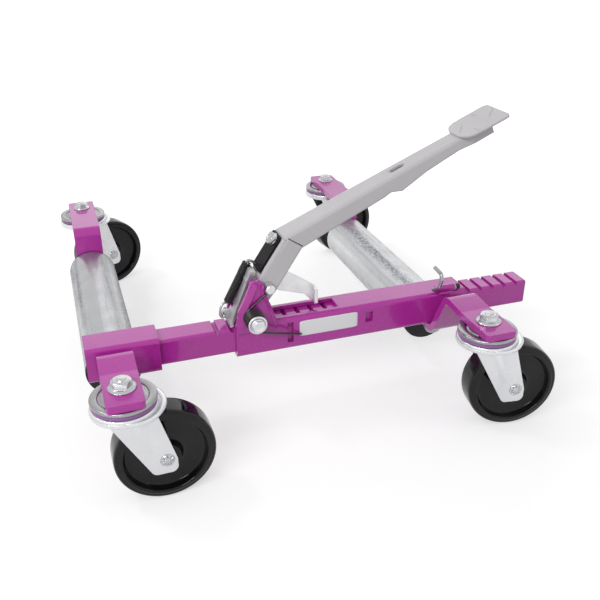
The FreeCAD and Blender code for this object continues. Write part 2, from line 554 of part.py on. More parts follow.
# pedal: lower arm on the pivot, mitred to the upper arm, which carries the foot plate
SEAM = (f"{ELBOW[0]} + seam_run * cos(arm_tilt) + seam_drop * sin(arm_tilt)",
        f"{ELBOW[1]} + seam_run * sin(arm_tilt) - seam_drop * cos(arm_tilt)")
LOWER_POINTS = [
    ELBOW, SEAM, ("knee_run - pivot_left", f"{PIVOT_Z} + knee_rise"), ("lobe_radius - pivot_left",
            PIVOT_Z),
    ("lobe_radius - pivot_left", f"{PIVOT_Z} - lobe_radius"), ("-lobe_radius - pivot_left",
            f"{PIVOT_Z} - lobe_radius"),
    ("-lobe_radius - pivot_left", PIVOT_Z), BACK_FOOT]
lower = plate("lower_blank", "XZ", LOWER_POINTS, "arm_width", rounds=(("lobe_round", (4, 5)),))
inset = ("arm_sheet * sin(back_tilt)", "-arm_sheet * cos(back_tilt)")
hollow(lower, "XZ", [
    (f"{ELBOW[0]} + {inset[0]} + lobe_radius * cos(back_tilt)",
     f"{ELBOW[1]} {inset[1]} + lobe_radius * sin(back_tilt)"),
    (f"{BACK_FOOT[0]} + {inset[0]}", f"{BACK_FOOT[1]} {inset[1]}"),
    (f"{BACK_FOOT[0]} - pocket_reach", f"{BACK_FOOT[1]} {inset[1]}"),
    ("-pocket_reach - pivot_left", f"{PIVOT_Z} - 2 * lobe_radius"),
    ("2 * pocket_reach - pivot_left", f"{PIVOT_Z} - 2 * lobe_radius"), ("2 * pocket_reach - pivot_left",
            ELBOW[1])],
    "arm_width - 2 * arm_sheet")
pivot_hole = rod("lower_pivot_hole", "bush_radius", "2 * arm_width",
                 ("-pivot_left", "-arm_width", PIVOT_Z), "Y")
pawl_hole = rod("lower_pawl_hole", "pawl_pin_radius", "2 * arm_width",
                (PAWL_PIN[0], "-arm_width", PAWL_PIN[1]), "Y")
bolt_at = (f"{BACK_FOOT[0]} + elbow_bolt_run * cos(back_tilt)",
           f"{BACK_FOOT[1]} + elbow_bolt_run * sin(back_tilt)")


def on_back(name, maker, radius, height, start):
    """A round or six-sided piece that stands square on the lower arm's back at the elbow bolt."""
    at = (f"{bolt_at[0]} - ({start}) * sin(back_tilt)", "0",
          f"{bolt_at[1]} + ({start}) * cos(back_tilt)")
    return place(maker(name, radius, height, ("0", "0", "0")), at, "Y", "-back_tilt")


fold = plate("lower_fold", "XY", [
    ("-2 * pocket_reach", "-arm_width / 2"), ("2 * pocket_reach", "-arm_width / 2"),
    ("2 * pocket_reach", "arm_width / 2"), ("-2 * pocket_reach", "arm_width / 2")], "3 * pocket_reach",
    (BACK_FOOT[0], "0", BACK_FOOT[1]), "Y", "-back_tilt", lift="-1.5 * pocket_reach")
soften(fold, "arm_bend", edges_along(fold, "X", lambda p: abs(p.z) < 1e-6))
screw_hole = on_back("lower_screw_hole", rod, "elbow_bolt_radius", "2 * elbow_shank", "-elbow_shank")
node(cut("lower_cut", common("lower_shell", lower, fold), pivot_hole, pawl_hole, screw_hole),
     "lower_arm")
ARM_AT = (ELBOW[0], "0", ELBOW[1])
FLANGE = [(f"({a}) * arm_length", f"-({b}) * arm_depth") for a, b in FLANGE_SHARES]
ARM_PLACE = (ARM_AT, "Y", "-arm_tilt")
upper = plate("upper_blank", "XZ", [("0", "0"), ("arm_length", "0"), *FLANGE, ("seam_run",
        "-seam_drop")],
              "arm_width", *ARM_PLACE)


def taper(name, inset, beyond, depth, lift):
    """A block as wide as the upper arm at each end, less an inset, that runs on beyond both ends."""
    narrow = f"({beyond} * (arm_width - arm_tip_width) / 2 / arm_length)"
    wide_end = f"(arm_width / 2 - {inset} + {narrow})"
    slim_end = f"(arm_tip_width / 2 - {inset} - {narrow})"
    return plate(name, "XY", [
        (f"-{beyond}", f"-{wide_end}"), (f"arm_length + {beyond}", f"-{slim_end}"),
        (f"arm_length + {beyond}", slim_end), (f"-{beyond}", wide_end)], depth, *ARM_PLACE, lift=lift)


shell = taper("upper_taper", "0", "0", "2 * arm_depth", "-arm_depth")
soften(shell, "arm_bend", [
    f"Edge{i}" for i, e in enumerate(shell.Tip.Shape.Edges, 1)
    if all(abs(v.Z) < 1e-6 for v in e.Vertexes) and e.Vertexes[0].X != e.Vertexes[-1].X])
trough = taper("upper_trough", "arm_sheet", "pocket_reach", "2 * arm_depth", "-arm_sheet - arm_depth")
straight = "oval_length / 2 - oval_width / 2"
oval = plate("upper_oval", "XY", [
    (f"oval_run - {straight}", "-oval_width / 2"), (f"oval_run + {straight}", "-oval_width / 2"),
    ("oval_run + oval_length / 2 - oval_width / 5", "-oval_width / 3"), ("oval_run + oval_length / 2",
            "0"),
    ("oval_run + oval_length / 2 - oval_width / 5", "oval_width / 3"),
    (f"oval_run + {straight}", "oval_width / 2"), (f"oval_run - {straight}", "oval_width / 2"),
    ("oval_run - oval_length / 2 + oval_width / 5", "oval_width / 3"), ("oval_run - oval_length / 2",
            "0"),
    ("oval_run - oval_length / 2 + oval_width / 5", "-oval_width / 3")], "4 * arm_sheet", *ARM_PLACE)
node(cut("upper_cut", common("upper_shell", upper, shell), trough, oval), "upper_arm")
FOOT_HALF = spread(FOOT_SHARES, "foot_length", "foot_width / 2", FOOT_START)
FOOT_POINTS = FOOT_HALF + [(a, f"-({b})") for a, b in reversed(FOOT_HALF)]
node(plate("foot_blank", "XY", FOOT_POINTS, "foot_sheet", *ARM_PLACE,
           rounds=(("foot_corner", (5, 6)),), lift="foot_sheet / 2"), "foot_plate")
reach_in = "tube_side / 2 - ear_play"
node(turned("pedal_bush_ring", [
    ("pivot_radius + run_gap", f"-({reach_in})"), ("bush_radius", f"-({reach_in})"), ("bush_radius",
            reach_in),
    ("pivot_radius + run_gap", reach_in)], "Y", ("-pivot_left", "0", PIVOT_Z)), "pedal_pivot_bush")
near_tip = "-arm_width / 2 - pawl_pin_out"
node(turned("pawl_pin_turn", [
    ("0", near_tip), ("pawl_pin_radius * 0.8", near_tip), ("pawl_pin_radius",
                                                           f"{near_tip} + pawl_pin_radius / 5"),
    ("pawl_pin_radius", "arm_width / 2 + ear_play"), ("0", "arm_width / 2 + ear_play")], "Y",
    (PAWL_PIN[0], "0", PAWL_PIN[1])), "pawl_pin")

# release strap on the lower arm's back, and the bolt through it
BAND_POINTS = [
    ("-band_lap", "-band_width / 2"), ("band_length - band_lap", "-band_width / 2"),
    ("band_length - band_lap", "band_width / 2"), ("-band_lap", "band_width / 2")]
band = plate("band_blank", "XY", BAND_POINTS, "band_thick", rounds=(("band_corner", (0, 1, 2, 3)),),
             lift="band_thick / 2")
band_eye = rod("band_eye", "eye_hole", "3 * band_thick", ("-eye_back", "chain_offset", "-band_thick"))
band_screw = rod("band_screw", "elbow_bolt_radius", "3 * band_thick",
                 ("elbow_bolt_run", "0", "-band_thick"))
band_cut = cut("band_cut", band, band_eye, band_screw)
node(place(band_cut, (BACK_FOOT[0], "0", BACK_FOOT[1]), "Y", "-back_tilt"), "release_strap")
node(fuse("elbow_bolt_fuse", on_back("elbow_hex", hexagon, "elbow_across", "elbow_head", "band_thick"),
          on_back("elbow_stem", rod, "elbow_bolt_radius", "elbow_shank",
                  "band_thick - elbow_shank")), "elbow_bolt")

# drive pawl: a plate on the pawl pin, with a folded tooth that steps the rack through the slot
PAWL_DROP = f"({PAWL_PIN[1]} - {TOOTH_Z})"
pawl_body = plate("pawl_blank", "XZ", spread(PAWL_SHARES, "pawl_reach", PAWL_DROP, *PAWL_PIN),
                  "pawl_thick",
                  ("0", "tooth_far - pawl_thick / 2", "0"), rounds=(("eye_round", (0, 1, 2)),))
tooth = plate("pawl_tooth", "XZ", spread(TOOTH_SHARES, "pawl_reach", PAWL_DROP, *PAWL_PIN),
              "pawl_near + tooth_far",
              ("0", "(tooth_far - pawl_near) / 2", "0"))
pawl_hub = rod("pawl_hub_ring", "pawl_hub", "2 * hub_half", (PAWL_PIN[0], "-hub_half", PAWL_PIN[1]),
               "Y")
pawl_bore = rod("pawl_bore", "pawl_pin_radius + run_gap", "2 * arm_width",
                (PAWL_PIN[0], "-arm_width", PAWL_PIN[1]), "Y")
node(cut("pawl_cut", fuse("pawl_fuse", pawl_body, tooth, pawl_hub), pawl_bore), "drive_pawl")

# hold pawl: a strip with a wide shoe, a knuckle on its pin and a lug for the spring
HOLD_DROP = f"({HOLD_PIN[1]} - {TIP_Z})"
strip_middle = "(hold_far - hold_near) / 2"
strip = plate("hold_strip", "XZ", spread(HOLD_SHARES, "hold_reach", HOLD_DROP, *HOLD_PIN),
              "hold_near + hold_far",
              ("0", strip_middle, "0"))
shoe = plate("hold_shoe", "XZ", spread(SHOE_SHARES, "hold_reach", HOLD_DROP, *HOLD_PIN),
             "hold_near + hold_wide",
             ("0", "(hold_wide - hold_near) / 2", "0"))
knuckle = rod("hold_knuckle", "knuckle_radius", "hold_near + hold_far",
              (HOLD_PIN[0], "-hold_near", HOLD_PIN[1]), "Y")
LUG = (f"({HOLD_PIN[0]} - lug_run)", f"({HOLD_PIN[1]} - lug_rise)")
lug = plate("hold_lug", "XZ", spread(LUG_SHARES, "lug_half", "lug_half", *LUG), "lug_thick",
            ("0", "chain_offset", "0"))
lug_eye = rod("hold_lug_eye", "lug_hole", "2 * lug_thick", (LUG[0], "chain_offset - lug_thick", LUG[1]),
              "Y")
hold_bore = rod("hold_bore", "hold_pin_radius + run_gap", "2 * arm_width",
                (HOLD_PIN[0], "-arm_width", HOLD_PIN[1]), "Y")
node(cut("hold_cut", fuse("hold_fuse", strip, shoe, knuckle, lug), lug_eye, hold_bore), "hold_pawl")


def formed(name, shape, label):
    """A bent or wound piece whose form is worked out from the sheet."""
    made = doc.addObject("Part::Feature", name)
    made.Shape = shape
    return node(made, label)


def arc(start, way, end):
    """The arc that leaves start along way and arrives at end."""
    chord = end - start
    along = VECTOR(chord).normalize()
    side = way - along * way.dot(along)
    if side.Length < 1e-6:
        return Part.LineSegment(start, end).toShape()
    lean = math.atan2(side.Length, way.dot(along))
    middle = (start + end) * 0.5 + side.normalize() * (chord.Length / 2 * math.tan(lean / 2))
    return Part.Arc(start, middle, end).toShape()


def biarc(start, way, end, arrive):
    """Two arcs that join two points smoothly."""
    gap = end - start
    both = way + arrive
    square_term = 2 * (1 - way.dot(arrive))
    lean = gap.dot(both)
    if abs(square_term) < 1e-9:
        reach = gap.Length / 4
    else:
        reach = (math.sqrt(lean * lean + square_term * gap.dot(gap)) - lean) / square_term
    middle = (start + end + (way - arrive) * reach) * 0.5
    turn = (middle - start) - way * reach
    return [arc(start, way, middle), arc(middle, turn.normalize(), end)]


def wound(points, ways, wire):
    """One unbroken wire through points with given directions."""
    edges = []
    for i in range(len(points) - 1):
        straight_on = (points[i + 1] - points[i]).normalize()
        if (straight_on - ways[i]).Length < 1e-6 and (straight_on - ways[i + 1]).Length < 1e-6:
            edges.append(Part.LineSegment(points[i], points[i + 1]).toShape())
        else:
            edges += biarc(points[i], ways[i], points[i + 1], ways[i + 1])
    path = Part.Wire(edges)
    ring = Part.Wire([Part.Circle(points[0], ways[0], wire).toShape()])
    return path, path.makePipeShell([ring], True, False)


def self_gap(path, wire, turn_length):
    """Least gap between a wound wire and its own neighbouring turns."""
    steps = path.discretize(Distance=wire * 0.8)
    skip = int(turn_length * 0.5 / (wire * 0.8))
    least = min((a - b).Length for i, a in enumerate(steps) for b in steps[i + skip:])
    return least - 2 * wire


def helix(centre, along, first, second, radius, pitch, begin, sweep):
    """Points and directions of a coil, one for each eighth of a turn."""
    count = max(2, int(round(abs(sweep) / 45)))
    points, ways = [], []
    for i in range(count + 1):
        t = math.radians(begin + sweep * i / count)
        climb = pitch * (sweep * i / count) / FULL_TURN
        spoke_out = first * math.cos(t) + second * math.sin(t)
        points.append(centre + spoke_out * radius + along * climb)
        way = (second * math.cos(t) - first * math.sin(t)) * radius + along * (pitch / (2 * math.pi))
        ways.append(way.normalize())
    return points, ways


# torsion spring: from the pawl pin, round the pivot, to the front of the tube
pivot = VECTOR(-value("pivot_left"), 0, value(PIVOT_Z))
twist, thin = value("twist_radius"), value("twist_wire")
under = VECTOR(value(PAWL_PIN[0]), 0, value(PAWL_PIN[1])) - pivot
line_turn = math.degrees(math.atan2(under.z, under.x)) - math.degrees(math.asin(twist / under.Length))
leave = line_turn + 90
rest = VECTOR(value("rest_reach"), 0, value(f"{TUBE_TOP} - rest_drop")) - pivot
rest_turn = math.degrees(math.atan2(rest.z, rest.x)) + math.degrees(math.asin(twist / math.hypot(rest.x,
        rest.z)))
turns = (rest_turn - 90 - leave) % FULL_TURN + FULL_TURN * value("twist_turns")
start_y = -value(f"{EAR_Y} + twist_start")
points, ways = helix(pivot + VECTOR(0, start_y, 0), VECTOR(0, -1, 0), VECTOR(1, 0, 0), VECTOR(0, 0, 1),
                     twist,
                     value("twist_pitch"), leave, turns)
spoke = math.radians(line_turn)
run = VECTOR(math.cos(spoke), 0, math.sin(spoke))
tip_far = points[0] + run * (math.sqrt(under.Length ** 2 - twist ** 2) - value("pawl_pin_radius + leg_gap"))
ways[0] = (ways[0] - run).normalize()
rest_point = VECTOR(value("rest_reach"), -value("tube_side / 2 + twist_wire + leg_gap"),
                    value(f"{TUBE_TOP} - rest_drop"))
level = math.radians(rest_turn)
ways[-1] = VECTOR(math.cos(level), 0, math.sin(level))
knee = points[-1] + ways[-1] * value("leg_run")
last = (rest_point - knee).normalize()
twist_path, twist_tube = wound([tip_far] + points + [knee, rest_point],
                               [(points[0] - tip_far).normalize()] + ways + [ways[-1], last], thin)
formed("twist_spring", twist_tube, "torsion_spring")
print("torsion spring self gap", round(self_gap(twist_path, thin, 2 * math.pi * twist), 3))

# drawbar spring between the hold pawl's lug and the release strap's eye
lug_point = VECTOR(value(LUG[0]), value("chain_offset"), value(LUG[1]))
tilt = math.radians(value("back_tilt"))
out, up = VECTOR(-math.sin(tilt), 0, math.cos(tilt)), VECTOR(math.cos(tilt), 0, math.sin(tilt))
strap_point = (VECTOR(value(BACK_FOOT[0]), value("chain_offset"),
                      value(BACK_FOOT[1])) - up * value("eye_back")
               + out * value("band_thick / 2"))
haul_turn = math.radians(value("coil_tilt"))
haul = VECTOR(math.cos(haul_turn), 0, math.sin(haul_turn))
across = VECTOR(0, 1, 0).cross(haul)
pitch, coil_turns = value("coil_pitch"), int(value("coil_turns"))
coil_start = lug_point + haul * value("coil_margin")
points, ways = helix(coil_start, haul, across, VECTOR(0, 1, 0) * -1, value("coil_radius"), pitch, 0,
                     FULL_TURN * coil_turns)
coil_path, coil_tube = wound(points, ways, value("coil_wire"))
formed("coil_spring", coil_tube, "drawbar_spring")
coil_turn = 2 * math.pi * value("coil_radius")
print("drawbar spring self gap", round(self_gap(coil_path, value("coil_wire"), coil_turn), 3))
coil_end = coil_start + haul * (coil_turns * pitch)


def hook(way, near_end, far_end, side, spots, heads):
    """One bent wire: a foot across the coil's far end, a shank through the coil, then the given points."""
    turn, sideways = value("foot_turn"), VECTOR(0, 1, 0)
    begin = far_end - way * value("coil_wire + ring_wire") + across * side
    start = [begin + sideways * value("cross_half"), begin + sideways * turn, begin + way * turn,
             near_end + across * side]
    return wound(start + spots, [sideways * -1, sideways * -1, way, way] + heads, value("ring_wire"))[1]


# the lower hook ends in an open loop in the lug, the upper one dives through the strap's eye
ring = value("ring_radius")
loop, loop_ways = helix(lug_point + haul * ring, haul, VECTOR(0, -1, 0), haul * -1, ring, 0, 0,
                        value("loop_sweep"))
tail_bend = strap_point - (out + up) * ring
hooks = [hook(haul * -1, coil_start, coil_end, value("shank_shift"), loop, loop_ways),
         hook(haul, coil_end, coil_start, -value("shank_shift"),
              [strap_point, tail_bend, tail_bend - up * value("hook_tail")], [out * -1, up * -1,
                      up * -1])]
formed("hook_pair", Part.makeCompound(hooks), "drawbar_hooks")

# latch: a rod in a barrel on the tube's front edge; its hook swings over the lowered pedal
LATCH = ("-tube_side / 2 + latch_inset", f"{TUBE_TOP} + latch_lift")
BARREL_LEFT = "(hook_left + hook_bend + ear_play)"
shell = rod("latch_shell", "barrel_radius", f"barrel_right - {BARREL_LEFT}", (BARREL_LEFT, *LATCH), "X")
latch_bore = rod("latch_bore", "rod_radius + run_gap", "2 * barrel_right", ("0", *LATCH), "X")
latch_seat = box("latch_seat", ("2 * barrel_right", "4 * barrel_radius", "2 * barrel_radius"),
                 ("0", f"{LATCH[0]} - 2 * barrel_radius", f"{TUBE_TOP} - 2 * barrel_radius"))
node(cut("latch_barrel_cut", shell, latch_bore, latch_seat), "latch_barrel")
washer_at = "barrel_right + ear_play"
ring_blank = rod("latch_ring_blank", "latch_washer_radius", "latch_washer_thick", (washer_at, *LATCH),
                 "X")
ring_bore = rod("latch_ring_bore", "rod_radius", "2 * latch_washer_thick",
                (f"{washer_at} - latch_washer_thick / 2", *LATCH), "X")
node(cut("latch_ring_cut", ring_blank, ring_bore), "latch_washer")
cap_at = f"{washer_at} + latch_washer_thick"
cap_blank = rod("latch_cap_blank", "latch_cap_radius", "latch_cap_length", (cap_at, *LATCH), "X")
cap_bore = rod("latch_cap_bore", "rod_radius", "latch_cap_length * 0.6", (cap_at, *LATCH), "X")
node(cut("latch_cap_cut", cap_blank, cap_bore), "latch_cap")
axis_y, axis_z = value(LATCH[0]), value(LATCH[1])
hook_x = value("hook_left")
corners = [VECTOR(value(f"{cap_at} + latch_cap_length * 0.6"), axis_y, axis_z)]
wide, high = value("hook_width"), value("hook_height")
corners += [VECTOR(hook_x, axis_y + a * wide, axis_z + b * high) for a, b in HOOK_SHARES]


def bent(corners, bend):
    """A path of straight runs with a smooth bend at each inner corner."""
    edges, begin = [], corners[0]
    for before, corner, after in zip(corners, corners[1:], corners[2:]):
        back, ahead = (before - corner).normalize(), (after - corner).normalize()
        opening = math.acos(max(-1, min(1, back.dot(ahead))))
        take = min(bend / math.tan(opening / 2), (before - corner).Length * 0.45,
                   (after - corner).Length * 0.45)
        entry, leave_at = corner + back * take, corner + ahead * take
        edges += [Part.LineSegment(begin, entry).toShape(), arc(entry, back * -1, leave_at)]
        begin = leave_at
    edges.append(Part.LineSegment(begin, corners[-1]).toShape())
    return Part.Wire(edges)


rod_path = bent(corners, value("hook_bend"))
rod_ring = Part.Wire([Part.Circle(corners[0], corners[1] - corners[0], value("rod_radius")).toShape()])
formed("latch_bend", rod_path.makePipeShell([rod_ring], True, False), "latch_rod")

doc.recompute()
for item in doc.Objects:
    if any(word in ("Invalid", "Error") for word in item.State):
        raise RuntimeError(f"{item.Name} is {item.State}")
os.makedirs("parts", exist_ok=True)
for label, piece in NODES:
    if piece.Shape.isNull() or not piece.Shape.isValid() or not piece.Shape.Solids:
        raise RuntimeError(f"{label} has no sound shape")
    piece.Shape.exportStep(os.path.join("parts", label + ".step"))
print(len(NODES), "nodes written")
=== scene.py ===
"""Looks of a vehicle positioning jack.

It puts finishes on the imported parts, adds the turned, wound, pressed and welded pieces, and sets the studio.
"""
import json
import math

import bpy
import numpy as np
from bpy.props import FloatProperty, FloatVectorProperty, IntProperty, PointerProperty
from mathutils import Matrix, Vector


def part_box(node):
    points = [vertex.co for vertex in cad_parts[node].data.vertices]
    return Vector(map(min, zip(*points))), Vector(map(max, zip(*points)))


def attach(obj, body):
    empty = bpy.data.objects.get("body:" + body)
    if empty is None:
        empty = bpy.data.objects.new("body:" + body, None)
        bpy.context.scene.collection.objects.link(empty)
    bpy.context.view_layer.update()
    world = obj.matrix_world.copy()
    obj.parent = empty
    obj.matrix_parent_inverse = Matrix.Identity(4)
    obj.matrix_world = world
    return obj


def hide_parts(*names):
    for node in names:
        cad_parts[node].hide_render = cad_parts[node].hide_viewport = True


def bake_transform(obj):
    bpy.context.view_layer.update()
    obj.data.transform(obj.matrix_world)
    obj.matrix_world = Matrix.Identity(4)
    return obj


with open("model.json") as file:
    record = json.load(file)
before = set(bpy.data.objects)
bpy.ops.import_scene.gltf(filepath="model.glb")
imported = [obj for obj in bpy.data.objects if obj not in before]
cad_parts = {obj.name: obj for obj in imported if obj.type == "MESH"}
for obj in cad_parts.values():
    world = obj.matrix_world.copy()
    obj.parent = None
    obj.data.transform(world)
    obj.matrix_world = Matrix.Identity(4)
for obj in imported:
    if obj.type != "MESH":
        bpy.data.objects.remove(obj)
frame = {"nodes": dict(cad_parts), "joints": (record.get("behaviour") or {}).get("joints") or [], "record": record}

bl_info = {
    "name": "Positioning Jack Looks",
    "version": (1, 0, 0),
    "blender": (4, 5, 0),
    "location": "View3D > Sidebar > Jack",
    "description": "Dresses the packed positioning jack and sets its studio",
    "category": "Object",
}

MM = 0.001
FULL_TURN = 2 * math.pi
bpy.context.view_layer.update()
JOINTS = {joint["name"]: joint for joint in frame["joints"]}
CASTERS = ("left_near", "right_near", "left_far", "right_far")
SIDES = ("left", "right")
ENDS = ("near", "far")
RIGHT = np.array((1.0, 0.0, 0.0))
AWAY = np.array((0.0, 1.0, 0.0))
UP = np.array((0.0, 0.0, 1.0))
ON_FLOOR = RIGHT + AWAY
ON_MIDDLE = RIGHT + UP


def joint_place(name):
    """The point that a joint turns about."""
    return np.array(JOINTS[name]["pos_m"], float)


def low_high(node):
    """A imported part's lowest and highest corners as arrays."""
    low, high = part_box(node)
    return np.array(low, float), np.array(high, float)


def node_points(node):
    """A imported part's points as an array."""
    mesh = frame["nodes"][node].data
    points = np.empty(len(mesh.vertices) * 3)
    mesh.vertices.foreach_get("co", points)
    return points.reshape(-1, 3)


PIVOT = joint_place("pedal_hinge")
PAWL_PIN = joint_place("drive_pawl_hinge")
HOLD_PIN = joint_place("hold_pawl_hinge")
TUBE = low_high("outer_tube")
EAR = low_high("pedal_ear_near")


# values that a user can change

def tint(name, description, rgb):
    """A colour."""
    return FloatVectorProperty(name=name, description=description, subtype="COLOR",
                               size=3, min=0, max=1, default=rgb)


def length(name, description, metres):
    """A length."""
    return FloatProperty(name=name, description=description, subtype="DISTANCE", unit="LENGTH",
                         min=0, default=metres)


def angle(name, description, degrees):
    """An angle, written in degrees."""
    return FloatProperty(name=name, description=description, subtype="ANGLE", unit="ROTATION",
                         default=math.radians(degrees))


def place(name, description, metres):
    """A place or an offset in the shared frame."""
    return FloatVectorProperty(name=name, description=description, subtype="TRANSLATION", unit="LENGTH",
                               size=3, default=metres)


class JackFinish(bpy.types.PropertyGroup):
    """Colours, and the softness of edges."""
    paint: tint("Frame paint", "Powder coat on the frame", (0.47, 0.025, 0.355))
    pedal: tint("Pedal paint", "Paint on the pedal", (0.575, 0.56, 0.58))
    zinc: tint("Zinc plate", "Plated bolts and pins", (0.52, 0.525, 0.54))
    roller: tint("Roller zinc", "Drawn tube of the right roller", (0.62, 0.625, 0.635))
    streaked: tint("Streaked zinc", "The duller tube of the left roller", (0.49, 0.495, 0.505))
    fork: tint("Fork zinc", "Pressed forks, the pawl pin and the pivot bolt", (0.73, 0.735, 0.75))
    hook: tint("Hook zinc", "Dull wire of the drawbar hooks and the latch", (0.40, 0.40, 0.41))
    race: tint("Race zinc", "Turned rings over the forks", (0.34, 0.34, 0.35))
    steel: tint("Blasted steel", "The drive pawl", (0.82, 0.82, 0.83))
    # the hold pawl: the drive pawl's steel finish, in a darker colour
    darker_steel: tint("Darker steel", "The hold pawl", (0.58, 0.58, 0.59))
    wheel: tint("Wheel black", "Moulded wheels", (0.005, 0.0047, 0.0055))
    seal: tint("Seal violet", "Rings under the top races", (0.30, 0.12, 0.36))
    spring: tint("Spring black", "Blackened spring wire and the release strap", (0.006, 0.006, 0.0065))
    black: tint("Oiled black", "Bushes and caps", (0.016, 0.016, 0.017))
    panel: tint("Blank panel", "Plain panel on the tube's front", (0.86, 0.86, 0.87))
    edge_round: length("Edge round", "Soft edge that the finish gives each corner", 0.0009)


class JackCasters(bpy.types.PropertyGroup):
    """Sizes of the wheels, and of the hoods, ribs and axle ends on the forks."""
    wheel_radius: length("Wheel radius", "Tread radius", 0.0508)
    wheel_width: length("Wheel width", "Width over the rim", 0.0305)
    crown_radius: length("Crown radius", "From the king bolt to where a hood starts", 0.0320)
    crown_level: length("Crown level", "Height of a hood's top above the floor", 0.1104)
    hood_reach: length("Hood reach", "How far a hood swells out along the trail", 0.0066)
    hood_lap: length("Hood lap", "Width that a hood keeps at its two ends", 0.00102)
    hood_arc: angle("Hood arc", "How far round the crown a hood runs to each side", 95)
    press_height: length("Rib height", "How far a fork's pressed rib stands out", 0.0021)
    press_top: length("Rib top", "Height of a rib's upper end above the floor", 0.101)
    press_fall: length("Rib fall", "How far a rib's lower end lies below its upper end", 0.041)
    press_width: length("Rib half width", "Half a rib's width at its upper end", 0.0070)
    press_narrowing: length("Rib narrowing", "How much of that half width is lost at the lower end", 0.0030)
    axle_radius: length("Axle radius", "Radius of a wheel's axle", 0.0055)
    stake_radius: length("Stake radius", "Radius of a staked axle end", 0.0072)
    notch_depth: length("Notch depth", "Depth of the notches punched in an axle end", 0.0015)
    notches: IntProperty(name="Notches", description="Notches punched in an axle end", default=8, min=1)


class JackBolts(bpy.types.PropertyGroup):
    """Sizes of the bevelled bolts and nuts."""
    head_flat: length("Head flat", "King bolt head, centre to flat", 0.0095)
    head_height: length("Head height", "King bolt head with its flange", 0.011)
    flange: length("Flange", "King bolt flange radius", 0.0142)
    shank: length("Shank", "King bolt shank radius", 0.006)
    nut_flat: length("Nut flat", "King bolt nut, centre to flat", 0.0085)
    nut_height: length("Nut height", "King bolt nut", 0.007)
    pivot_flat: length("Pivot head flat", "Pivot bolt head, centre to flat", 0.0065)
    pivot_flange: length("Pivot flange", "Pivot bolt flange radius", 0.0078)
    pivot_rise: length("Pivot flange rise", "Height of the pivot bolt's flange", 0.0012)
    pivot_dish: length("Pivot dish", "Depth of the dish in the pivot bolt's head", 0.0004)
    pivot_shank: length("Pivot shank", "Pivot bolt shank radius", 0.006)
    pivot_nut_flat: length("Pivot nut flat", "Pivot bolt nut, centre to flat", 0.009)
    pivot_nut_flange: length("Pivot nut flange", "Pivot bolt nut's flange radius", 0.0093)
    pivot_nut_rise: length("Pivot nut rise", "Height of the pivot bolt nut's flange", 0.0006)
    elbow_seat: place("Elbow bolt seat", "Middle of the elbow bolt's seat", (-0.01053, 0, 0.20675))
    elbow_flat: length("Elbow head flat", "Elbow bolt head, centre to flat", 0.0065)
    elbow_height: length("Elbow head height", "Elbow bolt head with its flange", 0.006)
    elbow_flange: length("Elbow flange", "Elbow bolt flange radius", 0.0072)
    elbow_rise: length("Elbow flange rise", "Height of the elbow bolt's flange", 0.0009)
    elbow_dish: length("Elbow dish", "Depth of the dish in the elbow bolt's head", 0.0007)
    elbow_shank: length("Elbow shank", "Elbow bolt shank radius", 0.004)
    elbow_length: length("Elbow shank length", "Elbow bolt shank below its seat", 0.009)


class JackSprings(bpy.types.PropertyGroup):
    """Sizes of the pedal's torsion spring and of the drawbar spring with its hooks."""
    twist_radius: length("Pedal spring radius", "Middle of the wire", 0.0099)
    twist_wire: length("Pedal spring wire", "Wire radius", 0.0012)
    twist_pitch: length("Pedal spring pitch", "Step of one turn", 0.003)
    twist_turns: IntProperty(name="Pedal spring turns", description="Whole turns", default=5, min=1)
    twist_stop: length("Pedal spring stop", "From the upper leg's end to the pawl pin's middle", 0.0065)
    coil_radius: length("Drawbar coil radius", "Middle of the wire", 0.0044)
    coil_wire: length("Drawbar wire", "Wire radius", 0.00066)
    coil_pitch: length("Drawbar pitch", "Step of one turn", 0.05 / 36)
    coil_turns: IntProperty(name="Drawbar turns", description="Whole turns", default=36, min=1)
    coil_middle: length("Drawbar middle", "From the hold pawl's lug to the coil's middle", 0.040)
    pull_slope: angle("Drawbar pull", "Slope from the lug to the coil's middle", 64.5)
    coil_slope: angle("Drawbar slope", "Slope of the coil itself", 61.9)
    lug: place("Lug", "The hold pawl's lug, from its pin", (-0.0285, 0.006, -0.0419))
    eye: place("Eye", "Where the upper hook turns over", (-0.02855, 0.006, 0.1777))
    eye_radius: length("Eye radius", "Bend of the upper hook's eye", 0.0039)
    eye_tail: length("Eye tail", "Straight end of the upper hook's eye", 0.0025)
    hook_wire: length("Hook wire", "Drawbar hook wire radius", 0.00115)
    hook_offset: length("Hook offset", "From the coil's middle line to a hook's stem", 0.00125)
    hook_bar: length("Hook bar", "Half of the bar that a stem has across the coil's end", 0.0042)
    hook_bend: length("Hook bend", "Bend between a stem and its bar", 0.002)
    stem_stop: length("Stem stop", "From the coil's lower end to the lower stem's end", 0.004)
    swell_run: length("Swell run", "Past the coil's end, where the upper hook has its full thickness", 0.003)
    catch_bend: length("Catch bend", "From the lug to where the lower hook starts to bend", 0.006)


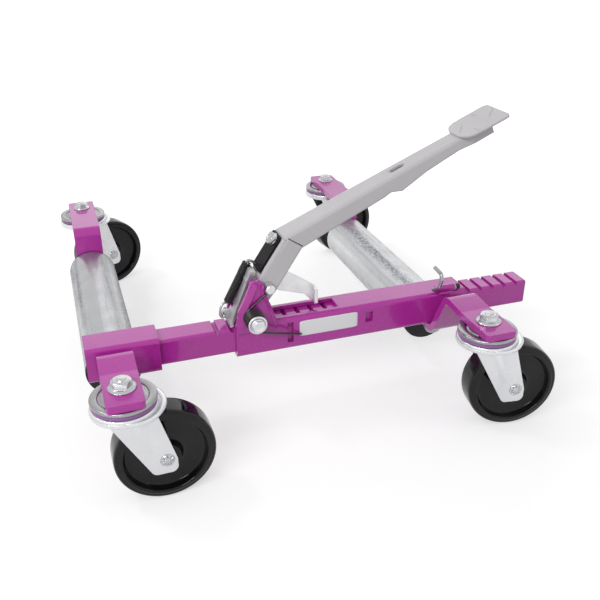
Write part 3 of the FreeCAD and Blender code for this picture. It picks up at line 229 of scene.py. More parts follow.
class JackFrame(bpy.types.PropertyGroup):
    """Sizes of the welds, the rims on the ears, the pressings on the pedal and the blank panel."""
    bead: length("Weld bead", "Radius of a weld bead", 0.0021)
    ripple: length("Weld ripple", "Length of one ripple in a weld", 0.0022)
    weld_inset: length("Weld inset", "How far a weld stops short of its part's ends", 0.002)
    strap_inset: length("Strap weld inset", "How far a strap's weld stops short of its edges", 0.001)
    strap_weld_in: length("Strap weld in", "From the rail's front to a strap's weld", 0.0035)
    strap_weld_up: length("Strap weld up", "From the rail's underside to a strap's weld", 0.0008)
    latch_weld_out: length("Latch weld offset", "From the latch's axis to its barrel's welds", 0.0042)
    rim_width: length("Ear rim width", "Width of the raised rim on an ear's left edge", 0.0088)
    rim_height: length("Ear rim height", "Height of the raised rims on an ear", 0.0024)
    arm_slope: angle("Lower arm slope", "Slope of the pedal's lower arm", 56.1)
    pedal_slope: angle("Upper arm slope", "Slope of the pedal's upper arm", 23.5)
    elbow: place("Elbow", "Corner from which the foot plate's ribs are measured", (-0.004, 0, 0.212))
    plate_lift: length("Plate lift", "From the elbow's corner line up to the foot plate's top", 0.002)
    rib_width: length("Foot rib width", "Width of a rib on the foot plate", 0.0024)
    rib_height: length("Foot rib height", "Height of a rib on the foot plate", 0.0011)
    lap_corner: place("Lap corner", "Upper corner of the lap at the elbow", (-0.001, 0, 0.2127))
    lap_run: length("Lap run", "Length in which the lap dies out down the arm", 0.034)
    lap_begin: length("Lap begin", "From the arm's back edge to the lap", 0.0022)
    lap_width: length("Lap width", "Width of the lap across the arm's side", 0.0202)
    lap_height: length("Lap height", "How far the lap stands out", 0.0011)
    # the seam line below is a dark wire that stands for the shade in the gap where the arm's sheets lap: painted
    # shade
    seam_wire: length("Seam thickness", "Radius of the dark line at the lap", 0.00055)
    seam_up: length("Seam rise", "How far above the lap the line lies", 0.0006)
    seam_sunk: length("Seam depth", "How deep the line's middle lies in the arm's side", 0.0003)
    seam_inset: length("Seam inset", "How far the line stops short of the lap's edges", 0.0004)
    panel_place: place("Panel place", "Middle of the blank panel", (0.0475, 0, 0.1018))
    panel_width: length("Panel half width", "Half the blank panel's width", 0.0352)
    panel_height: length("Panel half height", "Half the blank panel's height", 0.0096)
    panel_thick: length("Panel thickness", "How far the blank panel stands out", 0.0004)


class JackStudio(bpy.types.PropertyGroup):
    """Camera and light."""
    eye: place("Camera place", "Where the camera stands", (-0.22081, -0.72149, 0.52183))
    yaw: angle("Camera yaw", "Turn from the far side towards the rail's free end", 18.419)
    pitch: angle("Camera pitch", "Tilt below the horizon", 27.408)
    roll: angle("Camera roll", "Turn about the line of sight", -0.378)
    focus_share: FloatProperty(name="Focal share", description="Focal length over the picture's width",
                               default=751.64 / 600, min=0.1)
    sky: FloatProperty(name="Room light", description="Strength of the even white room", default=0.5, min=0)
    key: FloatProperty(name="Key light", description="Power of the key lamp", unit="POWER", default=22, min=0)
    target: place("Lamp target", "Where the lamps point", (0.03, 0.13, 0.1))
    floor_half: length("Floor half width", "Half the floor's width", 6.0)


# meshes from arrays

PINHOLE_SHARE = 0.02


def smooth_object(name, points, faces, material, flat=False):
    """A mesh object at the origin from a point array and a list of faces."""
    mesh = bpy.data.meshes.new(name)
    mesh.from_pydata(points.tolist(), [], faces)
    mesh.polygons.foreach_set("use_smooth", np.full(len(mesh.polygons), not flat))
    mesh.update()
    piece = bpy.data.objects.new(name, mesh)
    bpy.context.scene.collection.objects.link(piece)
    piece.data.materials.append(material)
    return piece


def sharpen(piece, degrees=35):
    """Keep edges crisp where two faces meet at more than the given angle."""
    piece.data.set_sharp_from_angle(angle=math.radians(degrees))


def turned_over(faces):
    """The same faces, pointing the other way."""
    return [face[::-1] for face in faces]


def grid_faces(rows, columns, close_rows=False, close_columns=False):
    """Quads that join neighbouring points of a grid, wrapped where it closes on itself."""
    row = np.arange(rows if close_rows else rows - 1)[:, None]
    column = np.arange(columns if close_columns else columns - 1)[None, :]
    next_row, next_column = (row + 1) % rows, (column + 1) % columns
    quads = np.stack([row * columns + column, row * columns + next_column,
                      next_row * columns + next_column, next_row * columns + column], -1)
    return quads.reshape(-1, 4).tolist()


def capped_faces(rows, columns):
    """Quads of a grid that closes on itself along its columns, with a cap on its first and last row."""
    first, last = list(range(columns)), list(range((rows - 1) * columns, rows * columns))
    return grid_faces(rows, columns, close_columns=True) + [first[::-1], last]


def join(parts):
    """Several (points, faces) pairs as one, with the faces renumbered."""
    shifts = np.cumsum([0] + [len(points) for points, faces in parts]).tolist()
    faces = [[index + shift for index in face]
             for (points, part_faces), shift in zip(parts, shifts) for face in part_faces]
    return np.concatenate([points for points, part_faces in parts]), faces


def placed(points, centre, axis, spoke):
    """Local (x, y, z) points set at a centre with z along the axis and x along the spoke."""
    axis = unit(np.array(axis, float))
    spoke = np.array(spoke, float)
    spoke = unit(spoke - axis * np.dot(spoke, axis))
    return centre + points @ np.stack([spoke, np.cross(axis, spoke), axis])


def unit(directions):
    """Directions scaled to a length of one."""
    return directions / np.linalg.norm(directions, axis=-1, keepdims=True)


def slope(turn):
    """A direction in the rail's upright plane, raised by an angle from the right."""
    return np.array((math.cos(turn), 0, math.sin(turn)))


def ring_angles(steps):
    """Angles of evenly spaced points round a circle."""
    return np.arange(steps) * FULL_TURN / steps


def cut_corners(line, rounds=2, share=0.25):
    """A line with its corners cut off again and again, so that it bends smoothly; its ends stay."""
    for _ in range(rounds):
        before, after = line[:-1], line[1:]
        pairs = np.stack([before + (after - before) * share, after + (before - after) * share], 1)
        line = np.concatenate([line[:1], pairs.reshape(-1, line.shape[1])[1:-1], line[-1:]])
    return line


def lathe(profile, steps):
    """A closed (radius, height) profile turned about z: each ring is the radius times (cos, sin)."""
    turn = ring_angles(steps)
    ring = np.stack([np.cos(turn), np.sin(turn)], -1)
    flat = profile[:, None, :1] * ring[None, :, :]
    heights = np.broadcast_to(profile[:, None, 1:], flat.shape[:2] + (1,))
    points = np.concatenate([flat, heights], -1).reshape(-1, 3)
    return points, grid_faces(len(profile), steps, close_rows=True, close_columns=True)


def rod(radius, low, high, steps):
    """A round bar along z: a rectangle turned about z, closed down to a pinhole at its ends."""
    inner = radius * PINHOLE_SHARE
    return lathe(np.array([(inner, low), (radius, low), (radius, high), (inner, high)]), steps)


def tube_frames(path):
    """Directions along a path and two square to it, carried along so that they do not twist."""
    askew = (0.31, 0.87, 0.39)
    along = unit(np.gradient(path, axis=0))
    side = [unit(np.cross(along[0], askew))]
    for way in along[1:]:
        side.append(unit(side[-1] - way * np.dot(side[-1], way)))
    side = np.array(side)
    return along, side, np.cross(along, side)


def tube(path, radius, ring):
    """A round wire: a circle of the given radius carried along a path, with domed ends.

    The radius is one number, or one for each point of the path.
    """
    dome_share, dome_rise = 0.6, 0.35
    along, side, lift = tube_frames(path)
    radius = np.broadcast_to(np.asarray(radius, float), (len(path),))
    turn = ring_angles(ring)
    spokes = side[:, None] * np.cos(turn)[None, :, None] + lift[:, None] * np.sin(turn)[None, :, None]
    body = path[:, None] + spokes * radius[:, None, None]
    start = path[0] + spokes[0] * radius[0] * dome_share - along[0] * radius[0] * dome_rise
    end = path[-1] + spokes[-1] * radius[-1] * dome_share + along[-1] * radius[-1] * dome_rise
    points = np.concatenate([start[None], body, end[None]]).reshape(-1, 3)
    return points, capped_faces(len(path) + 2, ring)


def straight(begin, end, steps):
    """Points evenly along a straight run, without its first one."""
    share = np.linspace(0, 1, steps + 1)[1:, None]
    return begin + (end - begin) * share


def curve_between(begin, way, end, arrive, steps, pull=1.0):
    """A cubic curve that leaves along one direction and arrives along another, without its first point."""
    reach = np.linalg.norm(end - begin) * pull
    t = np.linspace(0, 1, steps + 1)[1:, None]
    return ((2 * t ** 3 - 3 * t ** 2 + 1) * begin + (t ** 3 - 2 * t ** 2 + t) * reach * way
            + (3 * t ** 2 - 2 * t ** 3) * end + (t ** 3 - t ** 2) * reach * arrive)


def coil(centre, along, first, second, radius, pitch, begin, sweep, steps_per_turn):
    """A helix: the centre plus radius times (cos, sin) on two spokes, climbing one pitch for each turn."""
    count = int(round(abs(sweep) / FULL_TURN * steps_per_turn)) + 1
    t = np.linspace(0, sweep, count)[:, None]
    return (centre + radius * (np.cos(begin + t) * first + np.sin(begin + t) * second)
            + along * pitch * t / FULL_TURN)


def hex_head(flat, height, flange, flange_rise, bevel_share, dish, steps=96):
    """A six-sided head on a round flange: rings of hexagon radius, bevelled by a cone, with a dished top.

    The hexagon's radius is its flat over the cosine of the angle to the nearest flat, cut off at the corners.
    A dish below zero gives a raised top.
    """
    sixth, corner_share, bevel = math.pi / 3, 1.13, math.radians(30)
    turn = ring_angles(steps)
    side = np.minimum(flat / np.cos((turn + sixth / 2) % sixth - sixth / 2), flat * corner_share)
    crown = flat * bevel_share
    drop = np.maximum(side - crown, 0) * math.tan(bevel)
    # radius and height of each ring, from the seat over the flange and the bevel to the dish
    rings = [(flange * 0.2, 0), (flange * 0.985, 0), (flange, flange_rise * 0.14),
             (flange, flange_rise * 0.34), (flange * 0.97, flange_rise * 0.5),
             (side + (flange - side) * 0.35, flange_rise * 0.86),
             (side * 1.02, flange_rise), (side, flange_rise * 1.15), (side, height - drop - flat * 0.03),
             (side * 0.985, height - drop), (crown * 0.97, height - flat * 0.01), (crown * 0.88, height),
             (crown * 0.62, height), (crown * 0.54, height - dish * 0.8), (crown * 0.4, height - dish),
             (crown * PINHOLE_SHARE, height - dish)]
    full = np.ones(steps)
    points = [np.stack([r * np.cos(turn), r * np.sin(turn), z * full], -1) for r, z in rings]
    return np.concatenate(points), grid_faces(len(rings), steps, close_rows=True, close_columns=True)


def rib(line, lift, width, height, columns=13):
    """A low rib: height times (1 - v squared) across, carried along a line and tapered at its ends."""
    taper_rate, least_taper, sunk_share = 6, 0.05, 0.15
    beside = np.cross(lift, unit(np.gradient(line, axis=0)))
    u, v = np.linspace(0, 1, len(line)), np.linspace(-1, 1, columns)
    taper = np.clip(np.minimum(u, 1 - u) * taper_rate, least_taper, 1)[:, None] ** 0.5
    rise = height * taper * (1 - v[None, :] ** 2) - height * sunk_share
    spread = v[None, :] * taper * width / 2
    points = line[:, None] + beside[:, None] * spread[..., None] + lift * rise[..., None]
    return points.reshape(-1, 3), turned_over(grid_faces(len(line), columns))


def ride_on(piece, body, slot, *nodes):
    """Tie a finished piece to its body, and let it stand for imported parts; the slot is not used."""
    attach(piece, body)
    if nodes:
        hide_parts(*nodes)


# shader groups: each puts out a colour, a roughness and a height that change over the surface

WHITE = (1, 1, 1)
GROUPS = {}
FINISHES = {}
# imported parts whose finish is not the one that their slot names
OTHER_FINISH = {"latch_rod": "hook_zinc", "latch_washer": "race_zinc", "left_roller_tube": "streaked_zinc",
                "pawl_pin": "fork_zinc", "hold_pawl": "darker_steel"}
BUMP_DEPTH = 0.0004
EDGE_SAMPLES = 6
# scales of the coordinates for the grain in plate: a small one draws the grain out along that axis
EVEN_GRAIN, GRAIN_ALONG_Y, GRAIN_ALONG_Z = (1, 1, 1), (1, 0.04, 1), (1, 1, 0.08)


def new_group(name, vectors, values):
    """An empty shader group with named vectors, a colour and named values going in, and its end nodes."""
    group = bpy.data.node_groups.new(name, "ShaderNodeTree")
    for label in vectors:
        group.interface.new_socket(label, in_out="INPUT", socket_type="NodeSocketVector")
    group.interface.new_socket("Colour", in_out="INPUT", socket_type="NodeSocketColor")
    for label, default in values.items():
        socket = group.interface.new_socket(label, in_out="INPUT", socket_type="NodeSocketFloat")
        socket.default_value = default
    group.interface.new_socket("Colour", in_out="OUTPUT", socket_type="NodeSocketColor")
    for label in ("Roughness", "Height"):
        group.interface.new_socket(label, in_out="OUTPUT", socket_type="NodeSocketFloat")
    return group, group.nodes.new("NodeGroupInput"), group.nodes.new("NodeGroupOutput")


def feed(tree, item, socket):
    """Link a socket to another, or set it to a number or to a colour of three numbers."""
    if isinstance(item, bpy.types.NodeSocket):
        tree.links.new(item, socket)
    elif isinstance(item, tuple):
        socket.default_value = (*item, 1)
    else:
        socket.default_value = item


def noise(tree, coordinates, scale, detail, roughness=0.55):
    """A noise texture on given coordinates."""
    made = tree.nodes.new("ShaderNodeTexNoise")
    for word, item in (("Detail", detail), ("Roughness", roughness), ("Scale", scale),
                       ("Vector", coordinates)):
        feed(tree, item, made.inputs[word])
    return made.outputs["Fac"]


def remap(tree, value, low, high, to_low=0.0, to_high=1.0):
    """A value stretched from one range to another and held at its ends."""
    made = tree.nodes.new("ShaderNodeMapRange")
    for word, item in (("From Min", low), ("From Max", high), ("To Min", to_low), ("To Max", to_high),
                       ("Value", value)):
        feed(tree, item, made.inputs[word])
    return made.outputs["Result"]


def sums(tree, kind, first, second):
    """Two values added, multiplied or compared, as the kind says."""
    made = tree.nodes.new("ShaderNodeMath")
    made.operation = kind
    feed(tree, first, made.inputs[0])
    feed(tree, second, made.inputs[1])
    return made.outputs[0]


def tinted(tree, mask, first, second, blend):
    """Two colours mixed by a mask."""
    made = tree.nodes.new("ShaderNodeMix")
    made.data_type, made.blend_type = "RGBA", blend
    # of a mix node's sockets, 0 is the mask, 6 and 7 are the two colours, and 2 puts out the mixed colour
    for number, item in ((0, mask), (6, first), (7, second)):
        feed(tree, item, made.inputs[number])
    return made.outputs[2]


def paint_group():
    """Powder coat: slow drifts of shade, pale specks, thin rubbed marks and fine orange peel."""
    drift_scale, speck_scale, rub_scale = 9.0, 420.0, 70.0
    drifted, rubbed = (0.55, 0.5, 0.56), (0.9, 0.86, 0.9)
    group, begin, end = new_group("powder_coat", ("Coordinates",), {"Peel": 900.0, "Gloss": 0.3})
    where, colour = begin.outputs["Coordinates"], begin.outputs["Colour"]
    drift = remap(group, noise(group, where, drift_scale, detail=3), 0.3, 0.7)
    shade = tinted(group, remap(group, drift, 0, 1, 0, 0.14), colour, drifted, "MULTIPLY")
    speck = remap(group, noise(group, where, speck_scale, detail=2), 0.62, 0.78, 0, 0.05)
    shade = tinted(group, speck, shade, WHITE, "SCREEN")
    rub = remap(group, noise(group, where, rub_scale, detail=6, roughness=0.7), 0.62, 0.8, 0, 0.03)
    shade = tinted(group, rub, shade, rubbed, "SCREEN")
    rough = sums(group, "ADD", begin.outputs["Gloss"], remap(group, drift, 0, 1, -0.05, 0.07))
    feed(group, shade, end.inputs["Colour"])
    feed(group, sums(group, "ADD", rough, rub), end.inputs["Roughness"])
    feed(group, noise(group, where, begin.outputs["Peel"], detail=2), end.inputs["Height"])
    return group


def plate_group():
    """Zinc plate: cloudy patches, fine crystals and a brushed grain that runs along one direction."""
    crystal_scale, grain_scale, speckle_scale = 520.0, 36.0, 330.0
    clouded, crystalled, dulled = (0.72, 0.73, 0.76), (0.6, 0.61, 0.64), (0.36, 0.36, 0.39)
    dull_rough, grain_height = 0.35, 0.6
    group, begin, end = new_group("zinc_plate", ("Coordinates", "Grain"),
                                  {"Cloud": 45.0, "Gloss": 0.25, "Stain": 0.2, "Crystal": 0.03})
    where, colour = begin.outputs["Coordinates"], begin.outputs["Colour"]
    cloud = remap(group, noise(group, where, begin.outputs["Cloud"], detail=5, roughness=0.62), 0.34, 0.68)
    cells = group.nodes.new("ShaderNodeTexVoronoi")
    feed(group, crystal_scale, cells.inputs["Scale"])
    feed(group, where, cells.inputs["Vector"])
    crystal = remap(group, cells.outputs["Distance"], 0.1, 0.7)
    crystal = sums(group, "MULTIPLY", crystal, begin.outputs["Crystal"])
    grain = noise(group, begin.outputs["Grain"], grain_scale, detail=6, roughness=0.62)
    streak = remap(group, grain, 0.47, 0.66)
    speckle = remap(group, noise(group, where, speckle_scale, detail=3, roughness=0.7), 0.36, 0.6, 0.25, 1.0)
    dull = sums(group, "MULTIPLY", sums(group, "MULTIPLY", streak, speckle), begin.outputs["Stain"])
    shade = tinted(group, remap(group, cloud, 0, 1, 0, 0.28), colour, clouded, "MULTIPLY")
    shade = tinted(group, crystal, shade, crystalled, "MULTIPLY")
    shade = tinted(group, dull, shade, dulled, "MULTIPLY")
    rough = sums(group, "ADD", begin.outputs["Gloss"], remap(group, cloud, 0, 1, -0.05, 0.1))
    rough = sums(group, "ADD", rough, sums(group, "MULTIPLY", dull, dull_rough))
    height = sums(group, "ADD", crystal, sums(group, "MULTIPLY", grain, grain_height))
    feed(group, shade, end.inputs["Colour"])
    feed(group, rough, end.inputs["Roughness"])
    feed(group, height, end.inputs["Height"])
    return group


def moulding_group():
    """Moulded or oiled black: faint flow clouds, fine pits and dusty scuffs."""
    flow_scale, scuff_scale, dust_rough = 26.0, 130.0, 1.2
    flowed, dusty = (0.055, 0.052, 0.058), (0.2, 0.195, 0.19)
    group, begin, end = new_group("black_moulding", ("Coordinates",),
                                  {"Gloss": 0.2, "Dust": 0.1, "Pits": 700.0})
    where, colour = begin.outputs["Coordinates"], begin.outputs["Colour"]
    flow = remap(group, noise(group, where, flow_scale, detail=4), 0.35, 0.7)
    scuff = remap(group, noise(group, where, scuff_scale, detail=7, roughness=0.72), 0.57, 0.78)
    dust = sums(group, "MULTIPLY", scuff, begin.outputs["Dust"])
    shade = tinted(group, remap(group, flow, 0, 1, 0, 0.16), colour, flowed, "MIX")
    shade = tinted(group, dust, shade, dusty, "MIX")
    rough = sums(group, "ADD", begin.outputs["Gloss"], remap(group, flow, 0, 1, -0.03, 0.06))
    feed(group, shade, end.inputs["Colour"])
    rough = sums(group, "ADD", rough, sums(group, "MULTIPLY", dust, dust_rough))
    feed(group, rough, end.inputs["Roughness"])
    feed(group, noise(group, where, begin.outputs["Pits"], detail=3), end.inputs["Height"])
    return group


def finish(name, group, colour, values, bump, edge=0.0, metal=0.0, coat=0.0, coat_rough=0.1, specular=0.5,
           grain=None, shift=0.0):
    """A material: one group's colour, roughness and height on a Principled shader, with softened edges."""
    material = bpy.data.materials.new(name)
    material.use_nodes = True
    tree = material.node_tree
    shader = tree.nodes["Principled BSDF"]
    for word, number in (("Metallic", metal), ("Coat Weight", coat), ("Coat Roughness", coat_rough),
                         ("Specular IOR Level", specular)):
        shader.inputs[word].default_value = number
    where = tree.nodes.new("ShaderNodeTexCoord").outputs["Object"]
    effect = tree.nodes.new("ShaderNodeGroup")
    effect.node_tree = GROUPS[group]
    feed(tree, where, effect.inputs["Coordinates"])
    feed(tree, tuple(colour), effect.inputs["Colour"])
    for word, number in values.items():
        feed(tree, number, effect.inputs[word])
    if grain:
        run = tree.nodes.new("ShaderNodeMapping")
        run.inputs["Scale"].default_value = grain
        run.inputs["Location"].default_value = (shift, shift, shift)
        feed(tree, where, run.inputs["Vector"])
        feed(tree, run.outputs["Vector"], effect.inputs["Grain"])
    feed(tree, effect.outputs["Colour"], shader.inputs["Base Color"])
    feed(tree, effect.outputs["Roughness"], shader.inputs["Roughness"])
    relief = tree.nodes.new("ShaderNodeBump")
    relief.inputs["Strength"].default_value = bump
    relief.inputs["Distance"].default_value = BUMP_DEPTH
    feed(tree, effect.outputs["Height"], relief.inputs["Height"])
    if edge:
        soft = tree.nodes.new("ShaderNodeBevel")
        soft.samples = EDGE_SAMPLES
        soft.inputs["Radius"].default_value = edge
        feed(tree, soft.outputs["Normal"], relief.inputs["Normal"])
    feed(tree, relief.outputs["Normal"], shader.inputs["Normal"])
    FINISHES[name] = material


class JACK_OT_finishes(bpy.types.Operator):
    """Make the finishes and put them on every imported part"""
    bl_idname = "jack.finishes"
    bl_label = "Finishes"

    def execute(self, context):
        look = context.scene.jack_finish
        edge = look.edge_round
        GROUPS.update(paint=paint_group(), plate=plate_group(), black=moulding_group())
        finish("purple_paint", "paint", look.paint, {"Peel": 950.0, "Gloss": 0.25},
               bump=0.05, edge=edge * 1.4, coat=0.55, coat_rough=0.08, specular=0.3)
        finish("pedal_paint", "paint", look.pedal, {"Peel": 800.0, "Gloss": 0.36},
               bump=0.05, edge=edge * 3, coat=0.15, coat_rough=0.16, specular=0.3)
        finish("blank_panel", "paint", look.panel, {"Peel": 500.0, "Gloss": 0.32}, bump=0.03)
        finish("zinc_steel", "plate", look.zinc, {"Cloud": 60.0, "Gloss": 0.2, "Stain": 0.2},
               bump=0.05, edge=edge * 0.6, metal=1.0, grain=EVEN_GRAIN)
        for name, zinc, stain, shift in (("roller_zinc", look.roller, 0.9, 0.0),
                                         ("streaked_zinc", look.streaked, 1.0, 0.031)):
            finish(name, "plate", zinc, {"Cloud": 34.0, "Gloss": 0.3, "Stain": stain, "Crystal": 0.14},
                   bump=0.08, edge=edge * 0.6, metal=0.85, grain=GRAIN_ALONG_Y, shift=shift)
        finish("fork_zinc", "plate", look.fork, {"Cloud": 14.0, "Gloss": 0.24, "Stain": 0.12},
               bump=0.02, edge=edge, metal=0.9, grain=GRAIN_ALONG_Z)
        finish("race_zinc", "plate", look.race, {"Cloud": 30.0, "Gloss": 0.22, "Stain": 0.1},
               bump=0.01, edge=edge * 0.5, metal=1.0, grain=EVEN_GRAIN)
        finish("hook_zinc", "plate", look.hook, {"Cloud": 60.0, "Gloss": 0.3, "Stain": 0.2},
               bump=0.03, metal=0.8, grain=EVEN_GRAIN)
        # the hold pawl gets the same steel finish as the drive pawl, only darker
        for name, steel in (("bright_steel", look.steel), ("darker_steel", look.darker_steel)):
            finish(name, "plate", steel, {"Cloud": 90.0, "Gloss": 0.36, "Stain": 0.22},
                   bump=0.12, edge=edge, metal=0.75, grain=EVEN_GRAIN)
        finish("black_spring", "plate", look.spring, {"Cloud": 60.0, "Gloss": 0.18, "Stain": 0.2},
               bump=0.02, grain=EVEN_GRAIN)
        finish("black_wheel", "black", look.wheel, {"Gloss": 0.1, "Dust": 0.03, "Pits": 520.0},
               bump=0.02, specular=0.25)
        finish("violet_seal", "black", look.seal, {"Gloss": 0.32, "Dust": 0.16, "Pits": 900.0},
               bump=0.05, edge=edge * 0.4)
        finish("black_bush", "black", look.black, {"Gloss": 0.42, "Dust": 0.2, "Pits": 800.0},
               bump=0.06, edge=edge * 0.5, specular=0.3)
        finish("black_strap", "black", look.spring, {"Gloss": 0.4, "Dust": 0.03, "Pits": 1100.0},
               bump=0.14, edge=edge * 0.6, specular=0.06)
        for part in frame["record"]["subparts"]:
            mesh = frame["nodes"][part["node"]].data
            mesh.materials.clear()
            mesh.materials.append(FINISHES[OTHER_FINISH.get(part["node"], part["material_slot"])])
        return {"FINISHED"}


# pieces on the casters

# half of a wheel's section, from the bore to the middle of the tread: shares of radius and half width
WHEEL_HALF_SHARES = (
    (0.1575, 1.128), (0.27, 1.128), (0.292, 1.07), (0.305, 0.82), (0.33, 0.54), (0.42, 0.43),
    (0.60, 0.40), (0.74, 0.42), (0.785, 0.50), (0.802, 0.70), (0.815, 0.92), (0.838, 1.0),
    (0.872, 1.0), (0.895, 0.955), (0.95, 0.935), (0.982, 0.86), (0.996, 0.72), (1.0, 0.5))
WHEEL_STEPS = 120

# each end's king bolt head: turn of its hexagon in radians, and share of the full size
KING_HEADS = {"near": (0.32, 0.95), "far": (0.75, 0.82)}

# sections of the rings about a king bolt: radius, and height above the race's top, in millimetres
RACE_SECTION = (
    (6.4, 0), (19.7, 0), (20.9, -0.15), (21.9, -1.0), (23.6, -1.0), (24.7, -0.2), (30.0, 0),
    (31.3, -0.4), (31.9, -1.4), (31.9, -3.2), (31.3, -4.0), (29.8, -4.2), (29.8, -7.6),
    (27.0, -7.6), (27.0, -4.0), (6.4, -4.0))
SEAL_SECTION = ((29.7, -4.3), (31.0, -4.3), (31.6, -4.8), (31.6, -7.2), (31.0, -7.7), (29.7, -7.7))
BEAD_SECTION = (
    (30.1, -8.0), (31.4, -8.0), (32.3, -8.5), (32.6, -9.4), (32.6, -10.4), (32.9, -11.05), (30.1, -11.05))
RING_STEPS = 112

# rim of a fork's hood: share of its width, and height above the crown's level in millimetres
HOOD_SECTION = np.array((
    (0, 0), (0.8, 0), (0.94, -0.4), (1, -1.2), (1, -3.4), (0.94, -4.2), (0.8, -4.5), (0, -4.5)))
HOOD_STEPS = 80


def caster_frame(tag):
    """A caster's own directions: along its trail, and out along its axle."""
    axle = np.array(JOINTS[f"{tag}_wheel_spin"]["axis"], float)
    return np.cross(axle, UP), axle


def king_foot(tag):
    """The point on the floor below a caster's king bolt."""
    return joint_place(f"{tag}_swivel") * ON_FLOOR


def leg_face(tag):
    """Distance from a caster's middle plane to its legs' outer faces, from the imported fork's points."""
    leg_reach = 0.02
    hub = joint_place(f"{tag}_wheel_spin")
    points = node_points(f"{tag}_fork")
    leg = points[points[:, 2] < hub[2] + leg_reach]
    return float(np.abs((leg - hub) @ caster_frame(tag)[1]).max())


class JACK_OT_wheels(bpy.types.Operator):
    """Moulded wheels: a rim with a rounded lip, a dished web and a hub boss, turned about the axle"""
    bl_idname = "jack.wheels"
    bl_label = "Wheels"

    def execute(self, context):
        sizes = context.scene.jack_casters
        half = np.array(WHEEL_HALF_SHARES) * (sizes.wheel_radius, sizes.wheel_width / 2)
        profile = cut_corners(np.concatenate([half, half[::-1] * (1, -1)]))
        local, faces = lathe(profile[::-1], WHEEL_STEPS)
        for tag in CASTERS:
            axle = caster_frame(tag)[1]
            points = placed(local, joint_place(f"{tag}_wheel_spin"), axle, UP)
            wheel = smooth_object(f"{tag}_moulded_wheel", points, faces, FINISHES["black_wheel"])
            ride_on(wheel, f"{tag}_wheel", "black_wheel", f"{tag}_wheel")
        return {"FINISHED"}


class JACK_OT_king_bolts(bpy.types.Operator):
    """Flange bolts through the straps, each with a bevelled head, a shank and a nut"""
    bl_idname = "jack.king_bolts"
    bl_label = "King bolts"

    def execute(self, context):
        sizes = context.scene.jack_bolts
        crown_share, flange_share, head_bevel = 0.13, 0.3, 0.9
        nut_flange_share, nut_rise_share, nut_bevel = 1.02, 0.06, 0.95
        crown = sizes.head_flat * crown_share
        head, head_faces = hex_head(sizes.head_flat, sizes.head_height - crown, sizes.flange,
                                    sizes.head_height * flange_share, head_bevel, -crown)
        nut, nut_faces = hex_head(sizes.nut_flat, sizes.nut_height, sizes.nut_flat * nut_flange_share,
                                  sizes.nut_height * nut_rise_share, nut_bevel, 0.0)
        for side in SIDES:
            low, high = low_high(f"{side}_king_bolts")
            seat = high[2] - sizes.head_height
            shank, shank_faces = rod(sizes.shank, 0, seat - low[2], steps=32)
            parts = []
            for end, (turn, size_share) in KING_HEADS.items():
                foot = king_foot(f"{side}_{end}")
                spoke = (math.cos(turn), math.sin(turn), 0)
                parts += [(placed(head * size_share, foot + UP * seat, UP, spoke), head_faces),
                          (placed(nut, foot + UP * low[2], UP, spoke), nut_faces),
                          (placed(shank, foot + UP * low[2], UP, spoke), shank_faces)]
            bolts = smooth_object(f"{side}_flange_bolts", *join(parts), FINISHES["zinc_steel"])
            sharpen(bolts)
            ride_on(bolts, f"{side}_frame", "zinc_steel", f"{side}_king_bolts")
        return {"FINISHED"}


def crown_hood(tag, sizes):
    """A fork crown's flange towards the trail: a closed rim section carried round the king bolt.

    The section's width swells with the cosine of the bearing, which is stretched to reach zero at both ends.
    """
    trail, axle = caster_frame(tag)
    bearing = np.linspace(-sizes.hood_arc, sizes.hood_arc, HOOD_STEPS)[:, None]
    swell = sizes.hood_reach * np.clip(np.cos(bearing * (math.pi / 2) / sizes.hood_arc), 0, 1)
    reach = sizes.crown_radius + (swell + sizes.hood_lap) * HOOD_SECTION[None, :, 0]
    level = sizes.crown_level + HOOD_SECTION[:, 1] * MM
    flat = np.cos(bearing)[..., None] * trail + np.sin(bearing)[..., None] * axle
    points = king_foot(tag) + flat * reach[..., None] + UP * level[None, :, None]
    return points.reshape(-1, 3), capped_faces(HOOD_STEPS, len(HOOD_SECTION))


def king_ring(section, tag, top):
    """A ring section with its corners rounded off, turned about a caster's king bolt below a given height."""
    points, faces = lathe(cut_corners(np.array(section) * MM), RING_STEPS)
    return placed(points, king_foot(tag) + UP * top, UP, RIGHT), turned_over(faces)


class JACK_OT_top_races(bpy.types.Operator):
    """Rolled top races, thin seals, and the beads and hoods on the forks' crowns"""
    bl_idname = "jack.top_races"
    bl_label = "Top races and seals"

    def execute(self, context):
        for side in SIDES:
            top = low_high(f"{side}_top_races")[1][2]
            tags = [f"{side}_{end}" for end in ENDS]
            for name, section, look, slot, node in (
                    ("rolled_races", RACE_SECTION, "race_zinc", "zinc_steel", "top_races"),
                    ("thin_seals", SEAL_SECTION, "violet_seal", "violet_seal", "seal_rings")):
                points, faces = join([king_ring(section, tag, top) for tag in tags])
                rings = smooth_object(f"{side}_{name}", points, faces, FINISHES[look])
                ride_on(rings, f"{side}_frame", slot, f"{side}_{node}")
            for tag in tags:
                points, faces = join([king_ring(BEAD_SECTION, tag, top),
                                      crown_hood(tag, context.scene.jack_casters)])
                crown = smooth_object(f"{tag}_crown_bead", points, faces, FINISHES["fork_zinc"])
                ride_on(crown, f"{tag}_caster", "fork_zinc")
        return {"FINISHED"}


